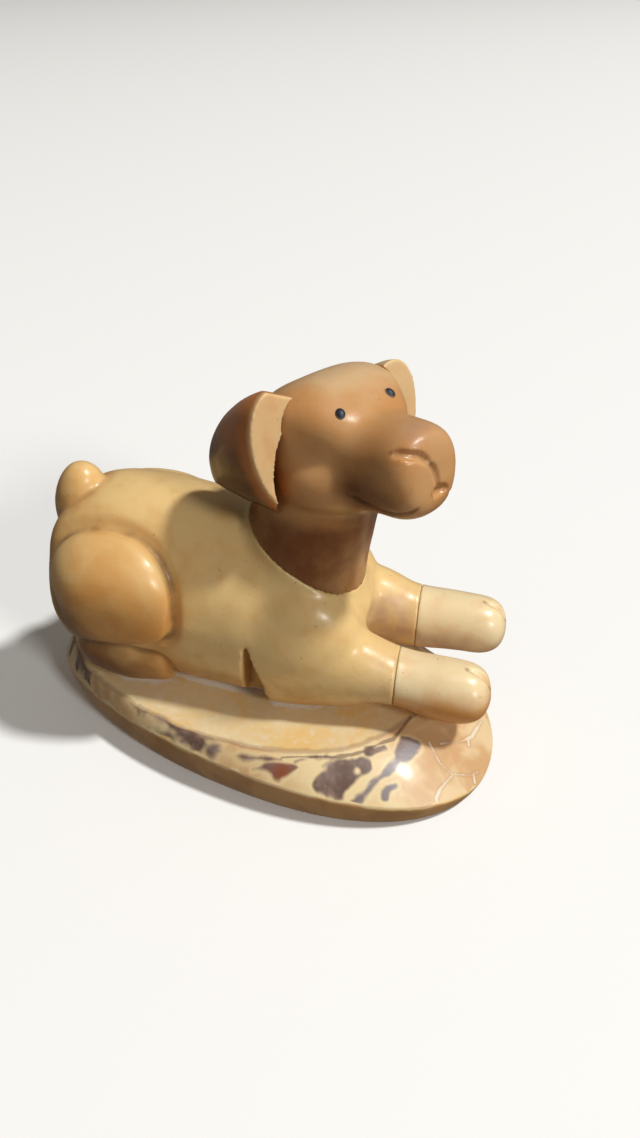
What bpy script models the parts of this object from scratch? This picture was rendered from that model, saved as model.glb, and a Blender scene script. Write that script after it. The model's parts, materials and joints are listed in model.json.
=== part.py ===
"""Small carving of a lying dog in nut ivory, glued up on an oval slice of nut.

The dog faces +X, its own right side faces -Y and +Z is up. The slice lies flat on the ground,
and the origin is on the ground under the middle of the whole carving. The forms are worked
out in millimetres, about a point near the middle of the slice, and placed at the end.
"""

import math

import bmesh
import bpy
import numpy as np
from mathutils import Euler, Matrix, Vector
from mathutils.bvhtree import BVHTree

MM = 0.001
WELD = 0.0001
SHARP_ANGLE = math.radians(50.0)

# Farther out than anything in the carving, for the cutters' ends.
BEYOND = 60.0

# How finely the carved forms are skinned, and over what distance their joins are softened.
VOXEL = 0.55
SOFT_JOIN = 1.5
CRISP_JOIN = 0.35
EAR_VOXEL = 0.4
EAR_JOIN = 0.7

# Triangles that the dog keeps before it is cut into pieces, and those of each ear.
DOG_FACES = 5500
EAR_FACES = 440

GLUE_GAP = 0.3
EYE_GAP = 0.15

# How wide a cut groove is at its ends, as a share of its middle.
GROOVE_TIP = 0.3

# The slice of nut that the dog lies on.
BASE_TOP = 7.5
BASE_CENTRE = (-0.29, -1.78)
BASE_HALF_LENGTH = 30.1
BASE_HALF_WIDTH = 15.3
BASE_TURN = math.radians(-11.3)
BASE_EGG = 0.125
BASE_SQUARENESS = 0.918
BASE_SEGMENTS = 64
BASE_UNDERCUT = 1.0
RIM_LEAST = 0.7
RIM_FRONT = 9.0
RIM_REAR = 2.6
RIM_EDGE_LOW = 1.0
RIM_EDGE_RISE = 4.6

# The head: where the skull's centre is and which way it looks.
HEAD_CENTRE = (8.6, 0.0, 41.0)
HEAD_YAW = math.radians(-37.0)
HEAD_PITCH = math.radians(9.0)
HEAD_ROLL = math.radians(0.5)

# Seams: the sloping cut through the neck and the upright cuts through the forelegs, which end
# at a height between paws and chin.
NECK_CUT_AT_X0 = 30.0
NECK_CUT_SLOPE = -0.64
RIGHT_PAW_SEAM_X = 17.1
LEFT_PAW_SEAM_X = 18.3
PAW_CLEAR = 22.0

# The ears, in the head's axes: half sizes, droop to the rear, lean towards the neck and
# middles, the plane of the flat front face, and the sloping top and underside, each as its
# height 8 mm out and its slope. The groove between ear and cheek is a swollen cheek's shape.
EAR_RADII = (11.3, 4.2, 6.4)
EAR_DROOP = math.radians(-34.5)
EAR_LEAN = math.radians(17.6)
RIGHT_EAR = (-2.2, -7.2, -0.5)
LEFT_EAR = (-2.2, 6.9, -2.2)
EAR_FRONT = 0.5
EAR_OVER = (6.9, 0.5)
EAR_UNDER = (-6.6, 1.0)
GROOVE_CENTRE = (0.6, 0.0, -2.6)
GROOVE_RADII = (7.4, 9.4, 9.0)

# The eyes, in the head's axes, and their half sizes out of, across and up the face.
RIGHT_EYE = (4.35, -3.4, 3.9)
LEFT_EYE = (4.45, 2.95, 3.95)
EYE_RADII = (0.35, 0.5, 0.6)

# The thighs: middles, half sizes forward, back, across, up and down, how square the front is
# seen from above and the upper and lower outline are from the side, and how much the lower
# half draws in.
RIGHT_THIGH = (-16.2, -5.5, 22.2)
LEFT_THIGH = (-16.2, 5.0, 21.6)
THIGH_FORWARD = 8.3
THIGH_BACK = 8.1
THIGH_ACROSS = 7.6
THIGH_UP = 7.6
THIGH_DOWN = 5.3
THIGH_SQUARENESS = 0.38
THIGH_OUTLINE_TOP = 0.85
THIGH_OUTLINE_LOW = 0.3
THIGH_DRAW_IN = 0.02

# Creases, as width and depth: round the tail, thigh against trunk, thigh against foot, and
# foot against trunk.
TAIL_CREASE = (1.3, 0.3)
THIGH_CREASE = (1.0, 0.9)
ANKLE_CREASE = (1.0, 0.8)
FOOT_CREASE = (0.9, 0.6)

# The wedge between elbow and flank, in X and Z, and how far out its floor is.
ELBOW_NOTCH = [(0.1, 19.9), (-1.3, 7.0), (2.6, 7.0), (1.8, 13.0), (0.9, 16.5)]
ELBOW_NOTCH_IN = 6.6

# Forelegs: how far out their middles are, where each paw ends, and each wrist's height, half
# width and half height.
LEG_OUT = 6.2
RIGHT_PAW_TIP_X = 28.2
LEFT_PAW_TIP_X = 29.5
RIGHT_WRIST = (13.3, 3.6, 3.4)
LEFT_WRIST = (12.4, 3.9, 4.4)

# Cuts, each a run of points and a half width. Those in the muzzle are in the head's axes, and
# the one between the toes is from the paw's tip, on top of it.
MOUTH = ([(6.3, -4.8, -3.3), (8.1, -4.3, -4.0), (10.0, -3.7, -4.4), (12.9, -2.2, -3.7)], 0.35)
LIP = ([(11.1, -3.1, 1.7), (12.0, -2.4, 1.5), (12.7, -1.5, 1.3), (13.2, -0.4, 0.3)], 0.45)
PHILTRUM = ([(13.2, -0.4, 0.3), (13.3, 0.1, -0.7), (13.3, 0.5, -2.4)], 0.35)
SLOT = ([(13.2, -0.4, -2.9), (13.3, 0.6, -2.8), (13.1, 1.7, -2.9)], 0.5)
TOES = ([(-3.2, 0.0, 16.0), (-1.4, 0.0, 15.0), (-0.3, 0.0, 13.4)], 0.6)

# Colour and roughness of each piece.
LOOKS = {
    "base": ((0.52, 0.35, 0.18), 0.3),
    "body": ((0.66, 0.46, 0.25), 0.3),
    "head": ((0.42, 0.25, 0.13), 0.28),
    "right_ear": ((0.45, 0.26, 0.12), 0.3),
    "left_ear": ((0.72, 0.52, 0.3), 0.3),
    "right_paw": ((0.78, 0.6, 0.33), 0.28),
    "left_paw": ((0.78, 0.6, 0.33), 0.28),
    "right_eye": ((0.012, 0.016, 0.025), 0.2),
    "left_eye": ((0.012, 0.016, 0.025), 0.2),
}


def clear_scene():
    for old in list(bpy.data.objects):
        bpy.data.objects.remove(old, do_unlink=True)


def material(name, colour, roughness):
    made = bpy.data.materials.new(name)
    made.use_nodes = True
    shader = made.node_tree.nodes["Principled BSDF"]
    shader.inputs["Base Color"].default_value = (*colour, 1.0)
    shader.inputs["Roughness"].default_value = roughness
    shader.inputs["Metallic"].default_value = 0.0
    return made


def mesh_object(name, bm, collection):
    bmesh.ops.recalc_face_normals(bm, faces=bm.faces)
    mesh = bpy.data.meshes.new(name)
    bm.to_mesh(mesh)
    bm.free()
    made = bpy.data.objects.new(name, mesh)
    collection.objects.link(made)
    return made


def copy_object(source, name, collection):
    made = bpy.data.objects.new(name, source.data.copy())
    collection.objects.link(made)
    return made


def apply_modifiers(target):
    graph = bpy.context.evaluated_depsgraph_get()
    mesh = bpy.data.meshes.new_from_object(target.evaluated_get(graph))
    target.modifiers.clear()
    old = target.data
    target.data = mesh
    bpy.data.meshes.remove(old)


def skin(target, voxel, soft):
    """Wraps overlapping shapes in one skin and softens its joins over the distance soft."""
    wrap = target.modifiers.new("skin", "REMESH")
    wrap.mode = "VOXEL"
    wrap.voxel_size = voxel
    smooth = target.modifiers.new("soften", "SMOOTH")
    smooth.factor = 0.5
    smooth.iterations = max(1, round(2.0 * (soft / voxel) ** 2))
    apply_modifiers(target)


def boolean(target, tool, operation):
    step = target.modifiers.new(operation.lower(), "BOOLEAN")
    step.operation = operation
    step.object = tool
    step.solver = "EXACT"
    apply_modifiers(target)


def thin_out(target, faces):
    mesh = target.data
    mesh.calc_loop_triangles()
    step = target.modifiers.new("thin out", "DECIMATE")
    step.ratio = min(1.0, faces / len(mesh.loop_triangles))
    step.use_collapse_triangulate = True
    apply_modifiers(target)


def grow(target, distance):
    """Moves the whole surface outward by this distance."""
    step = target.modifiers.new("grow", "DISPLACE")
    step.strength = distance
    step.mid_level = 0.0
    apply_modifiers(target)


def superellipse(angle, power):
    """A point on a unit superellipse: power 1 gives a circle and less gives a squarer curve."""
    c = math.cos(angle)
    s = math.sin(angle)
    return (
        math.copysign(abs(c) ** power, c),
        math.copysign(abs(s) ** power, s),
    )


def spline(four, t):
    """Catmull-Rom between the middle two of four vectors."""
    a, b, c, d = four
    return 0.5 * (
        2.0 * b
        + (c - a) * t
        + (2.0 * a - 5.0 * b + 4.0 * c - d) * t * t
        + (3.0 * b - a - 3.0 * c + d) * t * t * t
    )


def other_side(path):
    return [(x, -y, z) for x, y, z in path]


def smooth_path(points, between):
    """A smooth run through a few points, with this many steps between each two."""
    points = [Vector(p) for p in points]
    last = len(points) - 1
    run = []
    for i in range(last):
        four = [points[j] for j in (max(i - 1, 0), i, i + 1, min(i + 2, last))]
        run += [spline(four, k / between) for k in range(between)]
    return [*run, points[last]]


def add_ellipsoid(bm, centre, radii, turn=(0.0, 0.0, 0.0)):
    place = Matrix.Translation(Vector(centre)) @ Euler(turn).to_matrix().to_4x4()
    bmesh.ops.create_icosphere(
        bm, subdivisions=4, radius=1.0, matrix=place @ Matrix.Diagonal((*radii, 1.0))
    )


def add_loft(bm, stations, side=(0.0, 1.0, 0.0), power=1.0, around=40, between=6):
    """A closed skin through stations of (centre, half width, half height).

    The half width runs along side, and the half height across both it and the path.
    """
    centres = smooth_path([s[0] for s in stations], between)
    halves = smooth_path([(s[1], s[2], 0.0) for s in stations], between)
    side = Vector(side)
    loops = []
    for n, (centre, half) in enumerate(zip(centres, halves)):
        ahead = centres[min(n + 1, len(centres) - 1)] - centres[max(n - 1, 0)]
        up = ahead.cross(side).normalized()
        across = up.cross(ahead).normalized()
        loop = []
        for a in range(around):
            c, s = superellipse(2.0 * math.pi * a / around, power)
            loop.append(bm.verts.new(centre + across * (c * half.x) + up * (s * half.y)))
        loops.append(loop)
    bridge(bm, loops)


def bridge(bm, loops):
    """Joins closed loops of equal length into one capped skin."""
    around = len(loops[0])
    for low, high in zip(loops, loops[1:]):
        for a in range(around):
            b = (a + 1) % around
            bm.faces.new((low[a], low[b], high[b], high[a]))
    bm.faces.new(list(reversed(loops[0])))
    bm.faces.new(loops[-1])


def prism(name, outline, low_y, high_y, collection):
    """A straight block with this outline in X and Z, from low_y to high_y."""
    bm = bmesh.new()
    loops = [[bm.verts.new((x, y, z)) for x, z in outline] for y in (low_y, high_y)]
    bridge(bm, loops)
    return mesh_object(name, bm, collection)


def points_and_normals(mesh):
    count = len(mesh.vertices)
    points = np.empty(count * 3)
    normals = np.empty(count * 3)
    mesh.vertices.foreach_get("co", points)
    mesh.vertex_normals.foreach_get("vector", normals)
    return points.reshape(-1, 3), normals.reshape(-1, 3)


def press_in(target, distance, width, depth):
    """Pushes the surface inward by depth where distance is 0, fading to nothing at width."""
    points, normals = points_and_normals(target.data)
    amount = depth * np.clip(1.0 - distance / width, 0.0, 1.0) ** 1.5
    points -= normals * amount[:, None]
    target.data.vertices.foreach_set("co", points.ravel())
    target.data.update()


def carve_groove(target, path, half_width, collection):
    """Cuts a round-bottomed groove, finer at its ends, along the surface under path."""
    tree = BVHTree.FromObject(target, bpy.context.evaluated_depsgraph_get())
    run = [tree.find_nearest(p)[0] for p in smooth_path(path, 3)]
    curve = bpy.data.curves.new("groove", "CURVE")
    curve.dimensions = "3D"
    curve.bevel_depth = half_width
    curve.bevel_resolution = 1
    curve.use_fill_caps = True
    line = curve.splines.new("POLY")
    line.points.add(len(run) - 1)
    for i, (point, place) in enumerate(zip(line.points, run)):
        point.co = (*place, 1.0)
        swell = math.sin(math.pi * i / (len(run) - 1)) ** 0.5
        point.radius = GROOVE_TIP + (1.0 - GROOVE_TIP) * swell
    guide = bpy.data.objects.new("groove guide", curve)
    collection.objects.link(guide)
    graph = bpy.context.evaluated_depsgraph_get()
    bm = bmesh.new()
    bm.from_mesh(bpy.data.meshes.new_from_object(guide.evaluated_get(graph)))
    bmesh.ops.remove_doubles(bm, verts=bm.verts, dist=WELD)
    bpy.data.objects.remove(guide, do_unlink=True)
    boolean(target, mesh_object("groove cutter", bm, collection), "DIFFERENCE")


def carve_crease(target, one, other, width, depth):
    """Cuts a V groove where the surfaces of two joined forms meet."""
    graph = bpy.context.evaluated_depsgraph_get()
    trees = [BVHTree.FromObject(form, graph) for form in (one, other)]
    points, _ = points_and_normals(target.data)
    distance = np.full(len(points), width)
    for i, point in enumerate(points):
        far = 0.0
        for tree in trees:
            found = tree.find_nearest(point, width)
            if found[0] is None:
                far = width
                break
            far = max(far, found[3])
        distance[i] = far
    press_in(target, distance, width, depth)


def torso_shapes(bm):
    """Barrel, shoulders and forelegs, as overlapping shapes."""
    add_loft(
        bm,
        [
            ((-26.0, 0.0, 20.1), 4.0, 5.8),
            ((-24.4, 0.0, 20.0), 8.4, 9.6),
            ((-20.0, 0.0, 19.7), 10.6, 12.1),
            ((-13.0, 0.0, 19.3), 10.8, 12.9),
            ((-6.0, 0.0, 18.1), 10.6, 12.7),
            ((1.0, 0.0, 17.2), 11.0, 11.9),
            ((6.0, 0.0, 16.2), 10.0, 10.6),
            ((9.5, 0.0, 15.6), 8.0, 8.0),
            ((12.0, 0.0, 15.0), 3.6, 4.5),
        ],
    )
    for sign, tip, wrist in (
        (-1.0, RIGHT_PAW_TIP_X, RIGHT_WRIST),
        (1.0, LEFT_PAW_TIP_X, LEFT_WRIST),
    ):
        add_ellipsoid(bm, (4.0, sign * 5.9, 16.9), (9.0, 5.4, 8.6))
        add_loft(
            bm,
            [
                ((-1.5, sign * 5.9, 12.0), 1.5, 1.9),
                ((0.5, sign * 5.9, 12.1), 4.0, 4.5),
                ((5.0, sign * 5.9, 12.3), 4.8, 4.7),
                ((11.0, sign * LEG_OUT, 13.8), 4.3, 5.3),
                ((17.0, sign * LEG_OUT, wrist[0]), wrist[1], wrist[2]),
                ((tip - 6.0, sign * LEG_OUT, 12.4), 3.8, 3.9),
                ((tip - 2.4, sign * LEG_OUT, 12.2), 3.6, 3.7),
                ((tip - 0.7, sign * LEG_OUT, 12.1), 2.6, 2.6),
                ((tip, sign * LEG_OUT, 12.1), 0.8, 0.8),
            ],
        )


def tail_shape(bm):
    """A short stub that stands up against the rump."""
    add_ellipsoid(bm, (-22.0, 0.0, 25.6), (4.0, 3.8, 8.2))


def thigh_shape(bm, middle):
    """A fat pillow on the flank, squarer in front and drawn in below."""
    sign = math.copysign(1.0, middle[1])
    for vert in bmesh.ops.create_icosphere(bm, subdivisions=5, radius=1.0)["verts"]:
        x, y, z = vert.co
        outline = THIGH_OUTLINE_TOP if z > 0.0 else THIGH_OUTLINE_LOW
        reach, high = superellipse(math.asin(max(-1.0, min(1.0, z))), outline)
        forward = 0.5 + 0.5 * x
        squareness = 1.0 - (1.0 - THIGH_SQUARENESS) * forward**2
        c, s = superellipse(math.atan2(y, x), squareness)
        along = reach * c * (THIGH_FORWARD if x > 0.0 else THIGH_BACK)
        across = reach * s * THIGH_ACROSS
        up = high * (THIGH_UP if z > 0.0 else THIGH_DOWN)
        draw_in = THIGH_DRAW_IN * min(up, 0.0) ** 2
        vert.co = Vector(middle) + Vector((along, across - sign * draw_in, up))


def foot_shape(bm, sign):
    """The low hind foot under the thigh, flat along the ground."""
    add_loft(
        bm,
        [
            ((-23.6, sign * 2.4, 11.6), 1.2, 1.8),
            ((-22.8, sign * 3.1, 11.8), 3.1, 3.9),
            ((-19.4, sign * 4.7, 12.4), 4.8, 4.8),
            ((-15.6, sign * 5.3, 12.7), 5.5, 5.1),
            ((-13.2, sign * 5.3, 12.7), 5.3, 4.9),
            ((-11.2, sign * 5.3, 12.8), 5.2, 4.7),
            ((-10.2, sign * 5.3, 12.9), 4.7, 4.2),
        ],
    )


def neck_shapes(bm):
    add_loft(
        bm,
        [
            ((3.0, 0.0, 16.0), 7.0, 7.0),
            ((4.0, 0.0, 22.0), 7.6, 7.8),
            ((5.0, 0.0, 27.0), 7.2, 7.4),
            ((6.2, 0.0, 32.0), 6.6, 6.9),
            ((7.6, 0.0, 37.0), 6.2, 6.4),
            ((8.4, 0.0, 41.0), 5.0, 5.0),
        ],
    )


def head_place():
    """Takes the head's own axes, +X to the nose and +Y to its left, to the dog's."""
    turn = (
        Matrix.Rotation(HEAD_YAW, 3, "Z")
        @ Matrix.Rotation(-HEAD_PITCH, 3, "Y")
        @ Matrix.Rotation(HEAD_ROLL, 3, "X")
    )
    return Matrix.Translation(Vector(HEAD_CENTRE)) @ turn.to_4x4()


def skull_shapes(bm):
    """A broad flat-topped skull, round cheeks and the muzzle, in the head's own axes."""
    add_loft(
        bm,
        [
            ((-7.6, 0.0, -0.6), 2.4, 2.0),
            ((-6.6, 0.0, -0.2), 5.0, 3.6),
            ((-4.0, 0.0, 0.4), 7.0, 4.9),
            ((-0.6, 0.0, 0.8), 7.8, 5.7),
            ((2.2, 0.0, -0.1), 6.5, 5.5),
            ((4.4, 0.0, -1.1), 4.9, 4.7),
            ((6.0, 0.0, -1.5), 3.2, 3.5),
        ],
        power=0.56,
    )
    add_ellipsoid(bm, (0.3, 0.0, -3.0), (6.8, 8.1, 5.2))
    add_loft(
        bm,
        [
            ((2.0, 0.0, -1.6), 5.6, 5.4),
            ((5.0, 0.0, -1.5), 5.2, 5.1),
            ((8.0, 0.0, -1.4), 4.7, 4.9),
            ((11.0, 0.0, -1.3), 4.5, 4.8),
            ((12.7, 0.0, -1.4), 3.8, 4.1),
            ((13.3, 0.0, -1.4), 2.4, 2.7),
        ],
        power=0.84,
    )


def ear_shape(bm, middle):
    """A thick drop ear in the head's axes, before its faces are cut."""
    lean = math.copysign(EAR_LEAN, -middle[1])
    add_ellipsoid(bm, middle, EAR_RADII, (lean, EAR_DROOP, 0.0))


def ear_front_cutter(collection):
    """Takes away all that is in front of the ears' flat faces."""
    outline = [(EAR_FRONT, -BEYOND), (BEYOND, -BEYOND), (BEYOND, BEYOND), (EAR_FRONT, BEYOND)]
    return prism("ear front cutter", outline, -BEYOND, BEYOND, collection)


def ear_slope_cutter(sign, height, slope, end, collection):
    """Takes away all of this ear from its sloping top or underside to the height end."""
    near = 1.0
    outline = [(sign * out, height + slope * (out - 8.0)) for out in (near, BEYOND)]
    outline += [(sign * BEYOND, end), (sign * near, end)]
    bm = bmesh.new()
    bridge(bm, [[bm.verts.new((x, y, z)) for y, z in outline] for x in (-BEYOND, BEYOND)])
    return mesh_object("ear slope cutter", bm, collection)


def ear_groove_cutter(collection):
    """The cheek, made larger: it opens a groove behind it, wider towards the ear's lower end."""
    bm = bmesh.new()
    add_ellipsoid(bm, GROOVE_CENTRE, GROOVE_RADII)
    return mesh_object("ear groove cutter", bm, collection)


def base_ring(bm, inset, height):
    """A ring of points round the slice; inset and height are functions of the angle."""
    ring = []
    for i in range(BASE_SEGMENTS):
        a = 2.0 * math.pi * i / BASE_SEGMENTS
        c, s = superellipse(a, BASE_SQUARENESS)
        x = (BASE_HALF_LENGTH - inset(a)) * c
        y = (BASE_HALF_WIDTH - inset(a)) * s * (1.0 + BASE_EGG * math.cos(a))
        cos_turn = math.cos(BASE_TURN)
        sin_turn = math.sin(BASE_TURN)
        ring.append(
            bm.verts.new(
                (
                    BASE_CENTRE[0] + x * cos_turn - y * sin_turn,
                    BASE_CENTRE[1] + x * sin_turn + y * cos_turn,
                    height(a),
                )
            )
        )
    return ring


def rim_width(a):
    """How far the sloping rim reaches in from the outline: wide at the front, narrow at the side."""
    front = ((1.0 + math.cos(a + math.radians(10.0))) / 2.0) ** 4
    rear = ((1.0 + math.cos(a - math.radians(170.0))) / 2.0) ** 8
    return RIM_LEAST + RIM_FRONT * front + RIM_REAR * rear


def rim_edge(a):
    """Height of the edge between the upright side and the sloping rim."""
    sideways = ((math.sin(a) ** 2 + 0.03) / 1.03) ** 0.4
    return RIM_EDGE_LOW + RIM_EDGE_RISE * sideways * (1.0 - 0.12 * math.cos(a))


def base_mesh(bm):
    loops = [
        base_ring(bm, lambda a: BASE_UNDERCUT, lambda a: 0.0),
        base_ring(bm, lambda a: 0.4 * BASE_UNDERCUT, lambda a: 0.3 * rim_edge(a)),
        base_ring(bm, lambda a: 0.0, lambda a: 0.8 * rim_edge(a)),
    ]
    steps = 5
    for k in range(steps + 1):
        t = k / steps
        lift = 0.5 * t + 0.5 * math.sin(t * math.pi / 2.0)
        loops.append(
            base_ring(
                bm,
                lambda a, t=t: t * rim_width(a),
                lambda a, lift=lift: rim_edge(a) + (BASE_TOP - rim_edge(a)) * lift,
            )
        )
    bridge(bm, loops)


def neck_cutter(gap, collection):
    """A block holding all of the head: its lower face is the sloping seam, raised by gap."""
    rear = -10.0
    front = 15.5
    muzzle = 33.5
    seam = [(x, NECK_CUT_AT_X0 + gap + NECK_CUT_SLOPE * x) for x in (rear, front)]
    outline = [*seam, (front, muzzle), (BEYOND, muzzle), (BEYOND, BEYOND), (rear, BEYOND)]
    return prism("neck cutter", outline, -BEYOND, BEYOND, collection)


def paw_cutter(seam, sign, collection):
    """A block holding the paw in front of this seam."""
    outline = [(seam, 0.0), (BEYOND, 0.0), (BEYOND, PAW_CLEAR), (seam, PAW_CLEAR)]
    ends = sorted((sign * 0.5, sign * BEYOND))
    return prism("paw cutter", outline, *ends, collection)


def core_form(tools):
    """Trunk, neck and skull in one skin."""
    bm = bmesh.new()
    skull_shapes(bm)
    bm.transform(head_place())
    torso_shapes(bm)
    neck_shapes(bm)
    core = mesh_object("core form", bm, tools)
    skin(core, VOXEL, SOFT_JOIN)
    return core


def added_form(shape, tools, *where):
    """One form that joins the trunk with a crisp edge."""
    bm = bmesh.new()
    shape(bm, *where)
    form = mesh_object(shape.__name__, bm, tools)
    skin(form, VOXEL, CRISP_JOIN)
    return form


def whole_form(tools):
    """The dog without ears and eyes, with the creases round its thighs, feet and tail."""
    core = core_form(tools)
    whole = copy_object(core, "whole form", tools)
    tail = added_form(tail_shape, tools)
    thighs = [added_form(thigh_shape, tools, at) for at in (RIGHT_THIGH, LEFT_THIGH)]
    feet = [added_form(foot_shape, tools, sign) for sign in (-1.0, 1.0)]
    for form in (tail, *thighs, *feet):
        boolean(whole, form, "UNION")
    skin(whole, VOXEL, CRISP_JOIN)
    carve_crease(whole, core, tail, *TAIL_CREASE)
    for thigh, foot in zip(thighs, feet):
        carve_crease(whole, core, thigh, *THIGH_CREASE)
        carve_crease(whole, foot, thigh, *ANKLE_CREASE)
        carve_crease(whole, core, foot, *FOOT_CREASE)
    thin_out(whole, DOG_FACES)
    return whole


def cut_body(whole, dog, tools):
    body = copy_object(whole, "body", dog)
    boolean(body, neck_cutter(0.0, tools), "DIFFERENCE")
    floor = BASE_TOP + GLUE_GAP
    under = [(-BEYOND, -BEYOND), (BEYOND, -BEYOND), (BEYOND, floor), (-BEYOND, floor)]
    boolean(body, prism("ground cutter", under, -BEYOND, BEYOND, tools), "DIFFERENCE")
    for sign, seam in ((-1.0, RIGHT_PAW_SEAM_X), (1.0, LEFT_PAW_SEAM_X)):
        boolean(body, paw_cutter(seam, sign, tools), "DIFFERENCE")
        ends = sorted((sign * ELBOW_NOTCH_IN, sign * BEYOND))
        boolean(body, prism("elbow cutter", ELBOW_NOTCH, *ends, tools), "DIFFERENCE")


def cut_paw(whole, name, sign, seam, tip, dog, tools):
    paw = copy_object(whole, name, dog)
    boolean(paw, paw_cutter(seam + GLUE_GAP, sign, tools), "INTERSECT")
    path, half_width = TOES
    middle = Vector((tip, sign * LEG_OUT, 0.0))
    carve_groove(paw, [middle + Vector(p) for p in path], half_width, tools)


def cut_head(whole, dog, tools):
    head = copy_object(whole, "head", dog)
    boolean(head, neck_cutter(GLUE_GAP, tools), "INTERSECT")
    return head


def cut_ear(name, middle, grown_head, dog, tools):
    """An ear shaped to the head, which stays GLUE_GAP clear of it."""
    bm = bmesh.new()
    ear_shape(bm, middle)
    ear = mesh_object(name, bm, dog)
    skin(ear, EAR_VOXEL, EAR_JOIN)
    sign = math.copysign(1.0, middle[1])
    for cutter in (
        ear_front_cutter(tools),
        ear_slope_cutter(sign, *EAR_OVER, BEYOND, tools),
        ear_slope_cutter(sign, *EAR_UNDER, -BEYOND, tools),
        ear_groove_cutter(tools),
    ):
        boolean(ear, cutter, "DIFFERENCE")
    ear.data.transform(head_place())
    skin(ear, EAR_VOXEL, CRISP_JOIN)
    boolean(ear, grown_head, "DIFFERENCE")
    thin_out(ear, EAR_FACES)


def carve_muzzle(head, tools):
    place = head_place()
    cuts = [MOUTH, LIP, PHILTRUM, SLOT, (other_side(MOUTH[0]), MOUTH[1])]
    for path, half_width in cuts:
        carve_groove(head, [place @ Vector(p) for p in path], half_width, tools)


def eye_shape(spot, normal, radii):
    out = normal.to_track_quat("X", "Z").to_matrix().to_4x4()
    bm = bmesh.new()
    bmesh.ops.create_uvsphere(
        bm,
        u_segments=12,
        v_segments=6,
        radius=1.0,
        matrix=Matrix.Translation(spot) @ out @ Matrix.Diagonal((*radii, 1.0)),
    )
    return bm


def let_in_eye(head, name, aim, dog, tools):
    tree = BVHTree.FromObject(head, bpy.context.evaluated_depsgraph_get())
    spot, normal, _, _ = tree.find_nearest(head_place() @ Vector(aim))
    mesh_object(name, eye_shape(spot, normal, EYE_RADII), dog)
    grown = [r + EYE_GAP for r in EYE_RADII]
    socket = mesh_object("eye socket cutter", eye_shape(spot, normal, grown), tools)
    boolean(head, socket, "DIFFERENCE")


def build():
    clear_scene()
    dog = bpy.data.collections.new("dog sculpture")
    tools = bpy.data.collections.new("cutters")
    tools.hide_render = True
    for collection in (dog, tools):
        bpy.context.scene.collection.children.link(collection)

    whole = whole_form(tools)
    cut_body(whole, dog, tools)
    cut_paw(whole, "right_paw", -1.0, RIGHT_PAW_SEAM_X, RIGHT_PAW_TIP_X, dog, tools)
    cut_paw(whole, "left_paw", 1.0, LEFT_PAW_SEAM_X, LEFT_PAW_TIP_X, dog, tools)
    head = cut_head(whole, dog, tools)
    grown_head = copy_object(head, "grown head form", tools)
    grow(grown_head, GLUE_GAP)
    cut_ear("right_ear", RIGHT_EAR, grown_head, dog, tools)
    cut_ear("left_ear", LEFT_EAR, grown_head, dog, tools)
    carve_muzzle(head, tools)
    let_in_eye(head, "right_eye", RIGHT_EYE, dog, tools)
    let_in_eye(head, "left_eye", LEFT_EYE, dog, tools)
    bm = bmesh.new()
    base_mesh(bm)
    mesh_object("base", bm, dog)
    finish(dog, tools)


def middle_of(pieces):
    """The point on the ground under the middle of the box round these pieces."""
    corners = [np.array([tuple(v.co) for v in piece.data.vertices]) for piece in pieces]
    low = np.min([c.min(axis=0) for c in corners], axis=0)
    high = np.max([c.max(axis=0) for c in corners], axis=0)
    return Vector(((low[0] + high[0]) / 2.0, (low[1] + high[1]) / 2.0, low[2]))


def finish(dog, tools):
    """Sets everything over the origin, in metres, and gives each piece its look."""
    place = Matrix.Scale(MM, 4) @ Matrix.Translation(-middle_of(dog.objects))
    for piece in [*dog.objects, *tools.objects]:
        piece.data.transform(place)
    for piece in dog.objects:
        for face in piece.data.polygons:
            face.use_smooth = True
        piece.data.set_sharp_from_angle(angle=SHARP_ANGLE)
        piece.data.materials.clear()
        piece.data.materials.append(material(piece.name, *LOOKS[piece.name]))
    for tool in tools.objects:
        tool.display_type = "WIRE"
        tool.hide_render = True


build()
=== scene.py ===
"""The lying dog in nut ivory, as the photograph shows it: finely carved surfaces, materials,
light and camera. The forms are worked out in millimetres, as the CAD's are, about a point near
the middle of the base slice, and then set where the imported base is.
"""

import json
import math

import bmesh
import bpy
import numpy as np
from mathutils import Euler, Matrix, Vector, noise
from mathutils.bvhtree import BVHTree

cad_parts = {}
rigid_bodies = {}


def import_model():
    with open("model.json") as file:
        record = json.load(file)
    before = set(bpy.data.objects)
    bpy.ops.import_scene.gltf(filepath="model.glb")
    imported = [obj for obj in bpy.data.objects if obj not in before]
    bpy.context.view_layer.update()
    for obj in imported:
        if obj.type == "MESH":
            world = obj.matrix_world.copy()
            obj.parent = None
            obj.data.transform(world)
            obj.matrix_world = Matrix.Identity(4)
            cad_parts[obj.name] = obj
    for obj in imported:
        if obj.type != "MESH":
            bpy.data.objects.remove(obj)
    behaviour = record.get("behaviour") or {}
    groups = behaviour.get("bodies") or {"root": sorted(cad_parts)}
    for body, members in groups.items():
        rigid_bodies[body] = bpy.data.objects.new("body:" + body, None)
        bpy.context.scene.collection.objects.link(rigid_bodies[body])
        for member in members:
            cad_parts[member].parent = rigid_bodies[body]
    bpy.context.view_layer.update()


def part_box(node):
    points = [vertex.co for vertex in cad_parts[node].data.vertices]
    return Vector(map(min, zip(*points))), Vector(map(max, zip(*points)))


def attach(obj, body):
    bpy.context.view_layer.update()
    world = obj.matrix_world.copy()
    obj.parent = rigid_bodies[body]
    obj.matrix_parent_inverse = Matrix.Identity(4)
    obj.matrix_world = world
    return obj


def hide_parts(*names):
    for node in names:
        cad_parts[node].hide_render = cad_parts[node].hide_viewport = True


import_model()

# How Blender works out a cut: fast, and sound on the closed forms here.
SOLVER = "MANIFOLD"

MM = 0.001
WELD = 0.0001

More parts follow.
